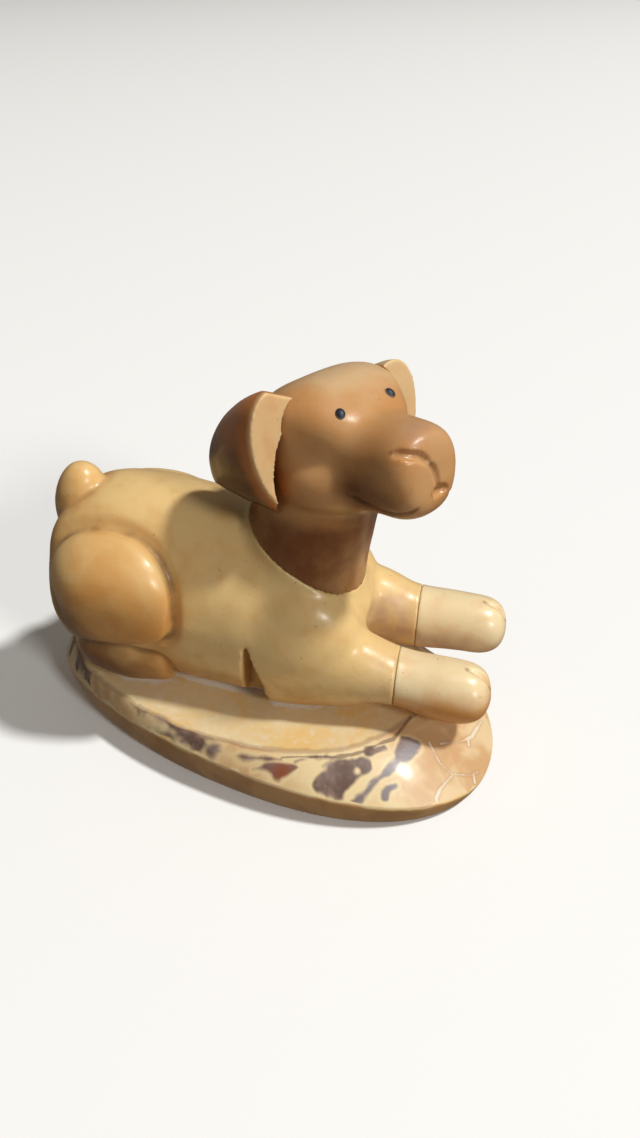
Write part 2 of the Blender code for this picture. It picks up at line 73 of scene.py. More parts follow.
# Farther out than anything in the carving, for the cutters' ends.
BEYOND = 60.0

# How finely the carved forms are skinned, and over what distance their joins are softened.
VOXEL = 0.3
SOFT_JOIN = 1.5
CRISP_JOIN = 0.3
EAR_VOXEL = 0.22
EAR_JOIN = 0.7

# How wide a cut groove is at its ends, as a share of its middle.
GROOVE_TIP = 0.3

# The slice of nut that the dog lies on.
BASE_TOP = 7.5
BASE_CENTRE = (-0.29, -1.78)
BASE_HALF_LENGTH = 30.1
BASE_HALF_WIDTH = 15.3
BASE_TURN = math.radians(-11.3)
BASE_EGG = 0.125
BASE_SQUARENESS = 0.918
BASE_SEGMENTS = 800
BASE_UNDERCUT = 1.0
RIM_LEAST = 0.7
RIM_FRONT = 9.0
RIM_REAR = 2.6
RIM_EDGE_LOW = 1.0
RIM_EDGE_RISE = 4.6

# The head: where the skull's centre is and which way it looks.
HEAD_CENTRE = (8.6, 0.0, 41.0)
HEAD_YAW = math.radians(-37.0)
HEAD_PITCH = math.radians(9.0)
HEAD_ROLL = math.radians(0.5)

# Seams: the sloping cut through the neck and the upright cuts through the forelegs, which end
# at a height between paws and chin.
NECK_CUT_AT_X0 = 30.0
NECK_CUT_SLOPE = -0.64
RIGHT_PAW_SEAM_X = 17.1
LEFT_PAW_SEAM_X = 18.3
PAW_CLEAR = 22.0

# The ears, in the head's axes: half sizes, droop to the rear, lean towards the neck and
# middles, the plane of the flat front face, and the sloping top and underside, each as its
# height 8 mm out and its slope. The groove between ear and cheek is a swollen cheek's shape.
EAR_RADII = (11.3, 4.2, 6.4)
EAR_DROOP = math.radians(-34.5)
EAR_LEAN = math.radians(17.6)
RIGHT_EAR = (-2.2, -7.2, -0.5)
LEFT_EAR = (-2.2, 6.9, -2.2)
EAR_FRONT = 0.5
EAR_OVER = (6.9, 0.5)
EAR_UNDER = (-6.6, 1.0)
GROOVE_CENTRE = (0.6, 0.0, -2.6)
GROOVE_RADII = (7.4, 9.4, 9.0)

# The eyes, in the head's axes, and their half sizes out of, across and up the face.
RIGHT_EYE = (4.35, -3.4, 3.9)
LEFT_EYE = (4.45, 2.95, 3.95)
EYE_RADII = (0.35, 0.5, 0.6)

# The thighs: middles, half sizes forward, back, across, up and down, how square the front is
# seen from above and the upper and lower outline are from the side, and how much the lower
# half draws in.
RIGHT_THIGH = (-16.2, -5.5, 22.2)
LEFT_THIGH = (-16.2, 5.0, 21.6)
THIGH_FORWARD = 8.3
THIGH_BACK = 8.1
THIGH_ACROSS = 7.6
THIGH_UP = 7.6
THIGH_DOWN = 5.3
THIGH_SQUARENESS = 0.38
THIGH_OUTLINE_TOP = 0.85
THIGH_OUTLINE_LOW = 0.3
THIGH_DRAW_IN = 0.02

# Creases, as width and depth: round the tail, thigh against trunk, thigh against foot, and
# foot against trunk.
TAIL_CREASE = (1.3, 0.3)
THIGH_CREASE = (1.0, 0.9)
ANKLE_CREASE = (1.0, 0.8)
FOOT_CREASE = (0.9, 0.6)

# The wedge between elbow and flank, in X and Z, and how far out its floor is.
ELBOW_NOTCH = [(0.1, 19.9), (-1.3, 7.0), (2.6, 7.0), (1.8, 13.0), (0.9, 16.5)]
ELBOW_NOTCH_IN = 6.6

# Forelegs: how far out their middles are, where each paw ends, and each wrist's height, half
# width and half height.
LEG_OUT = 6.2
RIGHT_PAW_TIP_X = 28.2
LEFT_PAW_TIP_X = 29.5
RIGHT_WRIST = (13.3, 3.6, 3.4)
LEFT_WRIST = (12.4, 3.9, 4.4)

# Cuts, each a run of points and a half width. Those in the muzzle are in the head's axes, and
# the one between the toes is from the paw's tip, on top of it.
MOUTH = ([(6.3, -4.8, -3.3), (8.1, -4.3, -4.0), (10.0, -3.7, -4.4), (12.9, -2.2, -3.7)], 0.35)
LIP = ([(11.1, -3.1, 1.7), (12.0, -2.4, 1.5), (12.7, -1.5, 1.3), (13.2, -0.4, 0.3)], 0.45)
PHILTRUM = ([(13.2, -0.4, 0.3), (13.3, 0.1, -0.7), (13.3, 0.5, -2.4)], 0.35)
SLOT = ([(13.2, -0.4, -2.9), (13.3, 0.6, -2.8), (13.1, 1.7, -2.9)], 0.5)
TOES = ([(-3.2, 0.0, 16.0), (-1.4, 0.0, 15.0), (-0.3, 0.0, 13.4)], 0.6)

# Fineness of the finished pieces and how far their cut edges are worn round.
BODY_VOXEL = 0.26
HEAD_VOXEL = 0.2
SMALL_VOXEL = 0.17
WORN_EDGE = 0.2

GROOVE_EDGE = 0.12

# How wide the muzzle's grooves are against the CAD's, once their edges are worn.
GROOVE_WIDER = 1.3

# What shows of the seams at neck and ears: glue keeps the pieces almost touching.
SEAM_GAP = 0.06

# The unevenness left by filing: how far apart its swells are and how high they rise.
BODY_SWELLS = (5.0, 0.05)
EAR_SWELLS = (4.0, 0.05)
PAW_SWELLS = (4.0, 0.04)

# How deep a hollow is that gets painted shade as a crease, on most pieces and on the head,
# and how far the painted shade beside a cut groove reaches.
HOLLOW = 0.09
HEAD_HOLLOW = 0.12
GROOVE_SHADE_REACH = 0.6

# Base slice: rings up its side, over its rim and across its top, and how round its lower edge
# is.
SIDE_RINGS = 10
RIM_RINGS = 60
TOP_RINGS = 18
LOW_EDGE = 0.35

# The eyes' rounds, along and across.
EYE_SEGMENTS = 48
EYE_RINGS = 24

# The camera, in the drawing's millimetres, and its lens.
CAMERA_TURN = math.radians(12.0)
CAMERA_RISE = math.radians(38.0)
FOCAL_PIXELS = 822.0
CAMERA_DISTANCE = 112.6
AIM = (0.0, 0.4, 0.0)
AIM_PIXEL = (274.0, 692.0)
FRAME_PIXELS = (640.0, 1138.0)
SENSOR = 36.0

# Marks on the slice's rim in X and Y: stains of the nut's skin as runs with a half width and as
# outlines, a hole in one of them, and the pale cracks between its plates at the front end.
STAINS = (
    ([(-13.5, -12.0), (-11.8, -13.0), (-9.6, -13.8), (-6.9, -14.8), (-2.7, -16.0)], 0.55),
    ([(-2.7, -16.1), (-0.5, -16.4), (1.7, -16.5), (5.4, -16.2)], 0.3),
    ([(7.1, -16.1), (8.2, -15.5), (9.7, -15.0), (11.2, -14.8)], 0.3),
    ([(15.0, -13.0), (16.0, -12.5), (16.7, -11.9)], 0.38),
    ([(-18.5, -8.7), (-16.6, -10.1), (-14.7, -11.4)], 0.6),
    ([(-23.4, -6.2), (-22.6, -7.3)], 0.9),
    ([(-26.4, -3.0), (-26.0, -1.4)], 0.8),
)
BLOTCHES = (
    [(2.3, -17.4), (3.6, -16.7), (5.4, -16.3), (7.6, -16.5), (6.6, -17.6), (5.6, -18.0),
     (4.2, -17.6)],
    [(10.9, -15.1), (13.0, -14.4), (15.0, -14.0), (15.8, -14.8), (14.5, -16.1), (13.3, -17.5),
     (12.6, -18.6), (10.1, -18.3), (9.6, -17.5), (10.6, -16.3), (10.2, -15.8)],
    [(18.6, -10.0), (20.3, -9.6), (21.0, -10.1), (20.7, -11.4), (19.4, -12.8), (18.4, -14.5),
     (16.9, -15.9), (15.7, -17.8), (15.3, -18.5), (14.2, -18.4), (15.8, -16.3), (17.2, -14.2),
     (17.9, -12.6)],
    [(17.5, -16.0), (18.6, -15.4), (19.0, -15.8), (18.4, -16.5), (18.4, -17.6), (17.5, -17.7),
     (17.1, -16.8)],
)
STAIN_HOLE = (14.2, -15.4, 0.4)
RED_SPOT = (5.8, -17.3, 1.5)
CREAM_PLACE = (12.5, -17.0, 6.5)
CRACKS = (
    [(27.8, -2.5), (26.8, -5.6), (25.2, -7.4), (23.1, -8.9)],
    [(26.4, -6.2), (26.5, -6.9)],
    [(21.8, -9.4), (23.3, -11.2), (24.9, -11.8), (27.0, -10.7), (28.0, -9.5)],
    [(24.9, -12.0), (23.8, -14.0), (23.4, -15.3), (23.7, -15.9)],
    [(27.5, -10.4), (27.7, -11.2)],
)
SCRIBED = [(5.3, -16.0), (7.5, -15.5), (11.2, -14.7), (13.3, -13.9), (14.8, -12.9), (16.0, -11.8),
           (17.6, -10.6), (18.4, -8.8), (19.2, -7.0)]

# Where the far part of the rim, which the photo hides, has stains: the line it starts beyond,
# how large and how many they are.
FAR_RIM_AT_X0 = -4.0
FAR_RIM_SLOPE = 0.2
FAR_STAIN_SIZE = 3.4
FAR_STAIN_LEVEL = 0.24

# How near the dog the slice has glue on it.
GLUE_REACH = 1.1

# Soft patches of a tone, each as its share, middle and reach. Those whose names begin with LOCAL
# are in the head's axes.
# Warm places on the body; the last, low on the back by the neck, is a painted glow of light
# through the nut at the edge of the head's shadow.
BODY_WARM_AND_GLOW = (
    (0.75, (-16.0, -10.0, 22.0), (8.0, 8.0, 8.0)),
    (0.5, (-10.0, -11.5, 18.0), (3.0, 4.0, 7.0)),
    (0.8, (-22.0, 0.0, 29.0), (4.5, 5.0, 5.0)),
    (0.35, (-1.0, -7.0, 28.5), (7.0, 4.0, 1.6)),
)
# Browner places on the body: partly a browner nut, partly painted shade on the near side of
# thigh, foot, rump, lower flank and foreleg, which face away from the light.
BODY_BROWN_AND_SHADE = (
    (0.75, (-21.5, -10.5, 18.5), (5.0, 6.0, 5.5)),
    (0.25, (-14.0, -12.5, 20.0), (6.0, 4.0, 5.0)),
    (0.9, (-17.0, -9.0, 11.0), (7.5, 4.5, 3.2)),
    (0.4, (-25.0, -3.0, 26.0), (3.0, 5.0, 5.0)),
    (0.3, (-4.0, -9.0, 12.0), (6.0, 5.0, 3.5)),
    (0.4, (8.0, -9.5, 10.5), (9.0, 5.0, 3.6)),
)
# Mauve on the body: a tint by the right paw's seam, and a painted reflection in the shade of the
# far foreleg's inner side.
BODY_MAUVE_AND_REFLECTION = (
    (0.35, (15.5, -8.5, 14.5), (2.0, 4.0, 4.0)),
    (0.9, (14.5, 3.0, 13.5), (3.5, 2.5, 4.0)),
)
# A painted highlight: a whitish strip along the near foot's top edge, where light catches it.
FOOT_LEDGE_HIGHLIGHT = ((1.0, (-16.0, -9.8, 16.5), (6.0, 4.0, 0.45)),)
# Takes part of the painted shade off again at the neck's front.
NECK_FRONT_LESS_SHADE = ((-0.45, (12.0, -3.5, 25.0), (4.5, 4.0, 4.5)),)
LOCAL_HEAD_WARM = (
    (-0.75, (-1.0, 1.0, 6.5), (6.0, 6.5, 2.2)),
    (0.35, (1.5, -4.5, 5.5), (2.5, 2.0, 2.0)),
)
# Painted shade on the muzzle's near side and under it.
LOCAL_MUZZLE_SHADE = (
    (0.5, (7.0, -5.0, -2.8), (2.6, 2.5, 3.0)),
    (0.45, (10.5, -4.5, -3.2), (4.5, 3.5, 2.6)),
)
LOCAL_HEAD_MAUVE = ((0.45, (11.6, 0.0, 3.0), (1.8, 3.0, 1.5)),)
# A painted reflection: the mauve streak in the shade low on the far paw's inner side.
LEFT_PAW_REFLECTION = ((0.9, (20.5, 3.0, 11.2), (5.0, 2.2, 1.3)),)

# Tones from 0 to 255: the pale, warm and dark one of each nut, and then those of the marks.
NUT_TONES = {
    "body": ((232, 200, 140), (212, 152, 80), (136, 86, 42)),
    "head": ((218, 184, 140), (196, 142, 86), (112, 62, 24)),
    "right_ear": ((224, 188, 138), (198, 124, 62), (92, 48, 22)),
    "left_ear": ((228, 196, 148), (214, 164, 108), (140, 96, 60)),
    "right_paw": ((238, 218, 176), (214, 152, 84), (130, 84, 48)),
    "left_paw": ((238, 218, 176), (214, 152, 84), (130, 84, 48)),
}
# Mauve: the nut's own tint in places, and painted sheen and reflection where the paint puts it.
MAUVE_AND_SHEEN = (172, 146, 134)
# Brown of the painted shade in creases and grooves.
GROOVE_SHADE_BROWN = (118, 72, 38)
# Whitish glue, also used for the painted highlight on the near foot's top edge.
NUT_GLUE_AND_HIGHLIGHT = (232, 222, 210)
EYE_DARK = (34, 42, 54)
EYE_GLUE = (124, 124, 122)
FLESH_PALE = (228, 206, 162)
FLESH_HONEY = (230, 196, 132)
FLESH_HAZE = (234, 222, 196)
SIDE_LIGHT = (206, 160, 106)
SIDE_DARK = (182, 136, 86)
SKIN_TAN = (206, 166, 120)
SKIN_PALE = (226, 200, 158)
SKIN_CREAM = (234, 214, 168)
STAIN_HALO = (232, 212, 164)
PLUM_DARK = (92, 66, 62)
PLUM_LIGHT = (142, 120, 120)
PLUM_MOTTLE = (162, 134, 116)
STAIN_SLATE = (122, 112, 118)
STAIN_RED = (136, 66, 40)
CRACK_SHADE = (150, 112, 88)
CRACK_PALE = (234, 222, 200)
RIM_BORDER = (128, 94, 78)
SCRIBED_BROWN = (110, 84, 70)
SLICE_GLUE = (236, 228, 218)

# The polish: roughness of nut, slice and eyes, the depth of the finest ripples, and how far
# light goes into the nut.
NUT_ROUGHNESS = 0.3
SLICE_ROUGHNESS = 0.36
EYE_ROUGHNESS = 0.5
NUT_IOR = 1.53
RIPPLE = 0.02
GLOW_DEPTH = 1.6

# Lights, in metres and watts: the way each lies from the dog, its size, power and colour.
LIGHT_AIM = (0.0, 0.0, 0.025)
LIGHT_DISTANCE = 4.0
LIGHTS = {
    "key": ((0.498, 0.03, 0.866), 0.4, 122.0, (1.0, 0.98, 0.94)),
    "side": ((0.71, -0.5, 0.5), 0.8, 58.0, (1.0, 0.97, 0.92)),
}
SKY_COLOUR = (1.0, 0.9, 0.78, 1.0)
SKY_STRENGTH = 0.16
FLOOR_COLOUR = (0.96, 0.98, 1.0)
FLOOR_ROUGHNESS = 0.7
FLOOR_HALF_SIZE = 3.0


def mesh_object(name, bm, collection):
    bmesh.ops.recalc_face_normals(bm, faces=bm.faces)
    mesh = bpy.data.meshes.new(name)
    bm.to_mesh(mesh)
    bm.free()
    made = bpy.data.objects.new(name, mesh)
    collection.objects.link(made)
    return made


def copy_object(source, name, collection):
    made = bpy.data.objects.new(name, source.data.copy())
    collection.objects.link(made)
    return made


def apply_modifiers(target):
    graph = bpy.context.evaluated_depsgraph_get()
    mesh = bpy.data.meshes.new_from_object(target.evaluated_get(graph))
    target.modifiers.clear()
    old = target.data
    target.data = mesh
    bpy.data.meshes.remove(old)


def skin(target, voxel, soft):
    """Wraps overlapping shapes in one skin and softens its joins over the distance soft."""
    wrap = target.modifiers.new("skin", "REMESH")
    wrap.mode = "VOXEL"
    wrap.voxel_size = voxel
    smooth = target.modifiers.new("soften", "SMOOTH")
    smooth.factor = 0.5
    smooth.iterations = max(1, round(2.0 * (soft / voxel) ** 2))
    apply_modifiers(target)


def boolean(target, tool, operation):
    step = target.modifiers.new(operation.lower(), "BOOLEAN")
    step.operation = operation
    step.object = tool
    step.solver = SOLVER
    apply_modifiers(target)


def grow(target, distance):
    """Moves the whole surface outward by this distance."""
    step = target.modifiers.new("grow", "DISPLACE")
    step.strength = distance
    step.mid_level = 0.0
    apply_modifiers(target)


def superellipse(angle, power):
    """A point on a unit superellipse: power 1 gives a circle and less gives a squarer curve."""
    c = math.cos(angle)
    s = math.sin(angle)
    return math.copysign(abs(c) ** power, c), math.copysign(abs(s) ** power, s)


def spline(four, t):
    """Catmull-Rom between the middle two of four vectors."""
    a, b, c, d = four
    return 0.5 * (
        2.0 * b
        + (c - a) * t
        + (2.0 * a - 5.0 * b + 4.0 * c - d) * t * t
        + (3.0 * b - a - 3.0 * c + d) * t * t * t
    )


def other_side(path):
    return [(x, -y, z) for x, y, z in path]


def smooth_path(points, between):
    """A smooth run through a few points, with this many steps between each two."""
    points = [Vector(p) for p in points]
    last = len(points) - 1
    run = []
    for i in range(last):
        four = [points[j] for j in (max(i - 1, 0), i, i + 1, min(i + 2, last))]
        run += [spline(four, k / between) for k in range(between)]
    return [*run, points[last]]


def add_ellipsoid(bm, centre, radii, turn=(0.0, 0.0, 0.0)):
    place = Matrix.Translation(Vector(centre)) @ Euler(turn).to_matrix().to_4x4()
    bmesh.ops.create_icosphere(
        bm, subdivisions=4, radius=1.0, matrix=place @ Matrix.Diagonal((*radii, 1.0))
    )


def add_loft(bm, stations, side=(0.0, 1.0, 0.0), power=1.0, around=40, between=6):
    """A closed skin through stations of (centre, half width, half height).

    The half width runs along side, and the half height across both it and the path.
    """
    centres = smooth_path([s[0] for s in stations], between)
    halves = smooth_path([(s[1], s[2], 0.0) for s in stations], between)
    side = Vector(side)
    loops = []
    for n, (centre, half) in enumerate(zip(centres, halves)):
        ahead = centres[min(n + 1, len(centres) - 1)] - centres[max(n - 1, 0)]
        up = ahead.cross(side).normalized()
        across = up.cross(ahead).normalized()
        loop = []
        for a in range(around):
            c, s = superellipse(2.0 * math.pi * a / around, power)
            loop.append(bm.verts.new(centre + across * (c * half.x) + up * (s * half.y)))
        loops.append(loop)
    bridge(bm, loops)


def bridge(bm, loops):
    """Joins closed loops of equal length into one capped skin."""
    around = len(loops[0])
    for low, high in zip(loops, loops[1:]):
        for a in range(around):
            b = (a + 1) % around
            bm.faces.new((low[a], low[b], high[b], high[a]))
    bm.faces.new(list(reversed(loops[0])))
    bm.faces.new(loops[-1])


def prism(name, outline, low_y, high_y, collection):
    """A straight block with this outline in X and Z, from low_y to high_y."""
    bm = bmesh.new()
    loops = [[bm.verts.new((x, y, z)) for x, z in outline] for y in (low_y, high_y)]
    bridge(bm, loops)
    return mesh_object(name, bm, collection)


def points_and_normals(mesh):
    count = len(mesh.vertices)
    points = np.empty(count * 3)
    normals = np.empty(count * 3)
    mesh.vertices.foreach_get("co", points)
    mesh.vertex_normals.foreach_get("vector", normals)
    return points.reshape(-1, 3), normals.reshape(-1, 3)


def surface_tree(target):
    """Finds the nearest place on the surface."""
    return BVHTree.FromObject(target, bpy.context.evaluated_depsgraph_get())


def press_in(target, distance, width, depth):
    """Pushes the surface inward by depth where distance is 0, fading to nothing at width."""
    points, normals = points_and_normals(target.data)
    amount = depth * np.clip(1.0 - distance / width, 0.0, 1.0) ** 1.5
    points -= normals * amount[:, None]
    target.data.vertices.foreach_set("co", points.ravel())
    target.data.update()


def carve_groove(target, path, half_width, collection):
    """Cuts a round-bottomed groove, finer at its ends, along the surface under path."""
    tree = surface_tree(target)
    run = [tree.find_nearest(p)[0] for p in smooth_path(path, 3)]
    curve = bpy.data.curves.new("groove", "CURVE")
    curve.dimensions = "3D"
    curve.bevel_depth = half_width
    curve.bevel_resolution = 1
    curve.use_fill_caps = True
    line = curve.splines.new("POLY")
    line.points.add(len(run) - 1)
    for i, (point, place) in enumerate(zip(line.points, run)):
        point.co = (*place, 1.0)
        swell = math.sin(math.pi * i / (len(run) - 1)) ** 0.5
        point.radius = GROOVE_TIP + (1.0 - GROOVE_TIP) * swell
    guide = bpy.data.objects.new("groove guide", curve)
    collection.objects.link(guide)
    graph = bpy.context.evaluated_depsgraph_get()
    bm = bmesh.new()
    bm.from_mesh(bpy.data.meshes.new_from_object(guide.evaluated_get(graph)))
    bmesh.ops.remove_doubles(bm, verts=bm.verts, dist=WELD)
    bpy.data.objects.remove(guide, do_unlink=True)
    boolean(target, mesh_object("groove cutter", bm, collection), "DIFFERENCE")
    return run


def carve_crease(target, one, other, width, depth):
    """Cuts a V groove where the surfaces of two joined forms meet."""
    trees = [surface_tree(form) for form in (one, other)]
    points, _ = points_and_normals(target.data)
    distance = np.full(len(points), width)
    for i, point in enumerate(points):
        far = 0.0
        for tree in trees:
            found = tree.find_nearest(point, width)
            if found[0] is None:
                far = width
                break
            far = max(far, found[3])
        distance[i] = far
    press_in(target, distance, width, depth)


def torso_shapes(bm):
    """Barrel, shoulders and forelegs, as overlapping shapes."""
    add_loft(
        bm,
        [
            ((-26.0, 0.0, 20.1), 4.0, 5.8),
            ((-24.4, 0.0, 20.0), 8.4, 9.6),
            ((-20.0, 0.0, 19.7), 10.6, 12.1),
            ((-13.0, 0.0, 19.3), 10.8, 12.9),
            ((-6.0, 0.0, 18.1), 10.6, 12.7),
            ((1.0, 0.0, 17.2), 11.0, 11.9),
            ((6.0, 0.0, 16.2), 10.0, 10.6),
            ((9.5, 0.0, 15.6), 8.0, 8.0),
            ((12.0, 0.0, 15.0), 3.6, 4.5),
        ],
    )
    for sign, tip, wrist in (
        (-1.0, RIGHT_PAW_TIP_X, RIGHT_WRIST),
        (1.0, LEFT_PAW_TIP_X, LEFT_WRIST),
    ):
        add_ellipsoid(bm, (4.0, sign * 5.9, 16.9), (9.0, 5.4, 8.6))
        add_loft(
            bm,
            [
                ((-1.5, sign * 5.9, 12.0), 1.5, 1.9),
                ((0.5, sign * 5.9, 12.1), 4.0, 4.5),
                ((5.0, sign * 5.9, 12.3), 4.8, 4.7),
                ((11.0, sign * LEG_OUT, 13.8), 4.3, 5.3),
                ((17.0, sign * LEG_OUT, wrist[0]), wrist[1], wrist[2]),
                ((tip - 6.0, sign * LEG_OUT, 12.4), 3.8, 3.9),
                ((tip - 2.4, sign * LEG_OUT, 12.2), 3.6, 3.7),
                ((tip - 0.7, sign * LEG_OUT, 12.1), 2.6, 2.6),
                ((tip, sign * LEG_OUT, 12.1), 0.8, 0.8),
            ],
        )


def tail_shape(bm):
    """A short stub that stands up against the rump."""
    add_ellipsoid(bm, (-22.0, 0.0, 25.6), (4.0, 3.8, 8.2))


def thigh_shape(bm, middle):
    """A fat pillow on the flank, squarer in front and drawn in below."""
    sign = math.copysign(1.0, middle[1])
    for vert in bmesh.ops.create_icosphere(bm, subdivisions=5, radius=1.0)["verts"]:
        x, y, z = vert.co
        outline = THIGH_OUTLINE_TOP if z > 0.0 else THIGH_OUTLINE_LOW
        reach, high = superellipse(math.asin(max(-1.0, min(1.0, z))), outline)
        forward = 0.5 + 0.5 * x
        squareness = 1.0 - (1.0 - THIGH_SQUARENESS) * forward**2
        c, s = superellipse(math.atan2(y, x), squareness)
        along = reach * c * (THIGH_FORWARD if x > 0.0 else THIGH_BACK)
        across = reach * s * THIGH_ACROSS
        up = high * (THIGH_UP if z > 0.0 else THIGH_DOWN)
        draw_in = THIGH_DRAW_IN * min(up, 0.0) ** 2
        vert.co = Vector(middle) + Vector((along, across - sign * draw_in, up))


def foot_shape(bm, sign):
    """The low hind foot under the thigh, flat along the ground."""
    add_loft(
        bm,
        [
            ((-23.6, sign * 2.4, 11.6), 1.2, 1.8),
            ((-22.8, sign * 3.1, 11.8), 3.1, 3.9),
            ((-19.4, sign * 4.7, 12.4), 4.8, 4.8),
            ((-15.6, sign * 5.3, 12.7), 5.5, 5.1),
            ((-13.2, sign * 5.3, 12.7), 5.3, 4.9),
            ((-11.2, sign * 5.3, 12.8), 5.2, 4.7),
            ((-10.2, sign * 5.3, 12.9), 4.7, 4.2),
        ],
    )


def neck_shapes(bm):
    add_loft(
        bm,
        [
            ((3.0, 0.0, 16.0), 7.0, 7.0),
            ((4.0, 0.0, 22.0), 7.6, 7.8),
            ((5.0, 0.0, 27.0), 7.2, 7.4),
            ((6.2, 0.0, 32.0), 6.6, 6.9),
            ((7.6, 0.0, 37.0), 6.2, 6.4),
            ((8.4, 0.0, 41.0), 5.0, 5.0),
        ],
    )


def head_place():
    """Takes the head's own axes, +X to the nose and +Y to its left, to the dog's."""
    turn = (
        Matrix.Rotation(HEAD_YAW, 3, "Z")
        @ Matrix.Rotation(-HEAD_PITCH, 3, "Y")
        @ Matrix.Rotation(HEAD_ROLL, 3, "X")
    )
    return Matrix.Translation(Vector(HEAD_CENTRE)) @ turn.to_4x4()


def skull_shapes(bm):
    """A broad flat-topped skull, round cheeks and the muzzle, in the head's own axes."""
    add_loft(
        bm,
        [
            ((-7.6, 0.0, -0.6), 2.4, 2.0),
            ((-6.6, 0.0, -0.2), 5.0, 3.6),
            ((-4.0, 0.0, 0.4), 7.0, 4.9),
            ((-0.6, 0.0, 0.8), 7.8, 5.7),
            ((2.2, 0.0, -0.1), 6.5, 5.5),
            ((4.4, 0.0, -1.1), 4.9, 4.7),
            ((6.0, 0.0, -1.5), 3.2, 3.5),
        ],
        power=0.56,
    )
    add_ellipsoid(bm, (0.3, 0.0, -3.0), (6.8, 8.1, 5.2))
    add_loft(
        bm,
        [
            ((2.0, 0.0, -1.6), 5.6, 5.4),
            ((5.0, 0.0, -1.5), 5.2, 5.1),
            ((8.0, 0.0, -1.4), 4.7, 4.9),
            ((11.0, 0.0, -1.3), 4.5, 4.8),
            ((12.7, 0.0, -1.4), 3.8, 4.1),
            ((13.3, 0.0, -1.4), 2.4, 2.7),
        ],
        power=0.84,
    )


def ear_shape(bm, middle):
    """A thick drop ear in the head's axes, before its faces are cut."""
    lean = math.copysign(EAR_LEAN, -middle[1])
    add_ellipsoid(bm, middle, EAR_RADII, (lean, EAR_DROOP, 0.0))


def ear_front_cutter(collection):
    """Takes away all that is in front of the ears' flat faces."""
    outline = [(EAR_FRONT, -BEYOND), (BEYOND, -BEYOND), (BEYOND, BEYOND), (EAR_FRONT, BEYOND)]
    return prism("ear front cutter", outline, -BEYOND, BEYOND, collection)


def ear_slope_cutter(sign, height, slope, end, collection):
    """Takes away all of this ear from its sloping top or underside to the height end."""
    near = 1.0
    outline = [(sign * out, height + slope * (out - 8.0)) for out in (near, BEYOND)]
    outline += [(sign * BEYOND, end), (sign * near, end)]
    bm = bmesh.new()
    bridge(bm, [[bm.verts.new((x, y, z)) for y, z in outline] for x in (-BEYOND, BEYOND)])
    return mesh_object("ear slope cutter", bm, collection)


def ear_groove_cutter(collection):
    """The cheek, made larger: it opens a groove behind it, wider towards the ear's lower end."""
    bm = bmesh.new()
    add_ellipsoid(bm, GROOVE_CENTRE, GROOVE_RADII)
    return mesh_object("ear groove cutter", bm, collection)


def base_ring(bm, inset, height):
    """A ring of points round the slice; inset and height are functions of the angle."""
    ring = []
    cos_turn = math.cos(BASE_TURN)
    sin_turn = math.sin(BASE_TURN)
    for i in range(BASE_SEGMENTS):
        a = 2.0 * math.pi * i / BASE_SEGMENTS
        c, s = superellipse(a, BASE_SQUARENESS)
        x = (BASE_HALF_LENGTH - inset(a)) * c
        y = (BASE_HALF_WIDTH - inset(a)) * s * (1.0 + BASE_EGG * math.cos(a))
        turned_x = BASE_CENTRE[0] + x * cos_turn - y * sin_turn
        turned_y = BASE_CENTRE[1] + x * sin_turn + y * cos_turn
        ring.append(bm.verts.new((turned_x, turned_y, height(a))))
    return ring


def rim_width(a):
    """How far the sloping rim reaches in from the outline: wide in front, narrow beside."""
    front = ((1.0 + math.cos(a + math.radians(10.0))) / 2.0) ** 4
    rear = ((1.0 + math.cos(a - math.radians(170.0))) / 2.0) ** 8
    return RIM_LEAST + RIM_FRONT * front + RIM_REAR * rear


def rim_edge(a):
    """Height of the edge between the upright side and the sloping rim."""
    sideways = ((math.sin(a) ** 2 + 0.03) / 1.03) ** 0.4
    return RIM_EDGE_LOW + RIM_EDGE_RISE * sideways * (1.0 - 0.12 * math.cos(a))


def neck_cutter(gap, collection):
    """A block holding all of the head: its lower face is the sloping seam, raised by gap."""
    rear = -10.0
    front = 15.5
    muzzle = 33.5
    seam = [(x, NECK_CUT_AT_X0 + gap + NECK_CUT_SLOPE * x) for x in (rear, front)]
    outline = [*seam, (front, muzzle), (BEYOND, muzzle), (BEYOND, BEYOND), (rear, BEYOND)]
    return prism("neck cutter", outline, -BEYOND, BEYOND, collection)


def paw_cutter(seam, sign, collection):
    """A block holding the paw in front of this seam."""
    outline = [(seam, 0.0), (BEYOND, 0.0), (BEYOND, PAW_CLEAR), (seam, PAW_CLEAR)]
    ends = sorted((sign * 0.5, sign * BEYOND))
    return prism("paw cutter", outline, *ends, collection)


def core_form(tools):
    """Trunk, neck and skull in one skin."""
    bm = bmesh.new()
    skull_shapes(bm)
    bm.transform(head_place())
    torso_shapes(bm)
    neck_shapes(bm)
    core = mesh_object("core form", bm, tools)
    skin(core, VOXEL, SOFT_JOIN)
    return core


def added_form(shape, tools, *where):
    """One form that joins the trunk with a crisp edge."""
    bm = bmesh.new()
    shape(bm, *where)
    form = mesh_object(shape.__name__, bm, tools)
    skin(form, VOXEL, CRISP_JOIN)
    return form


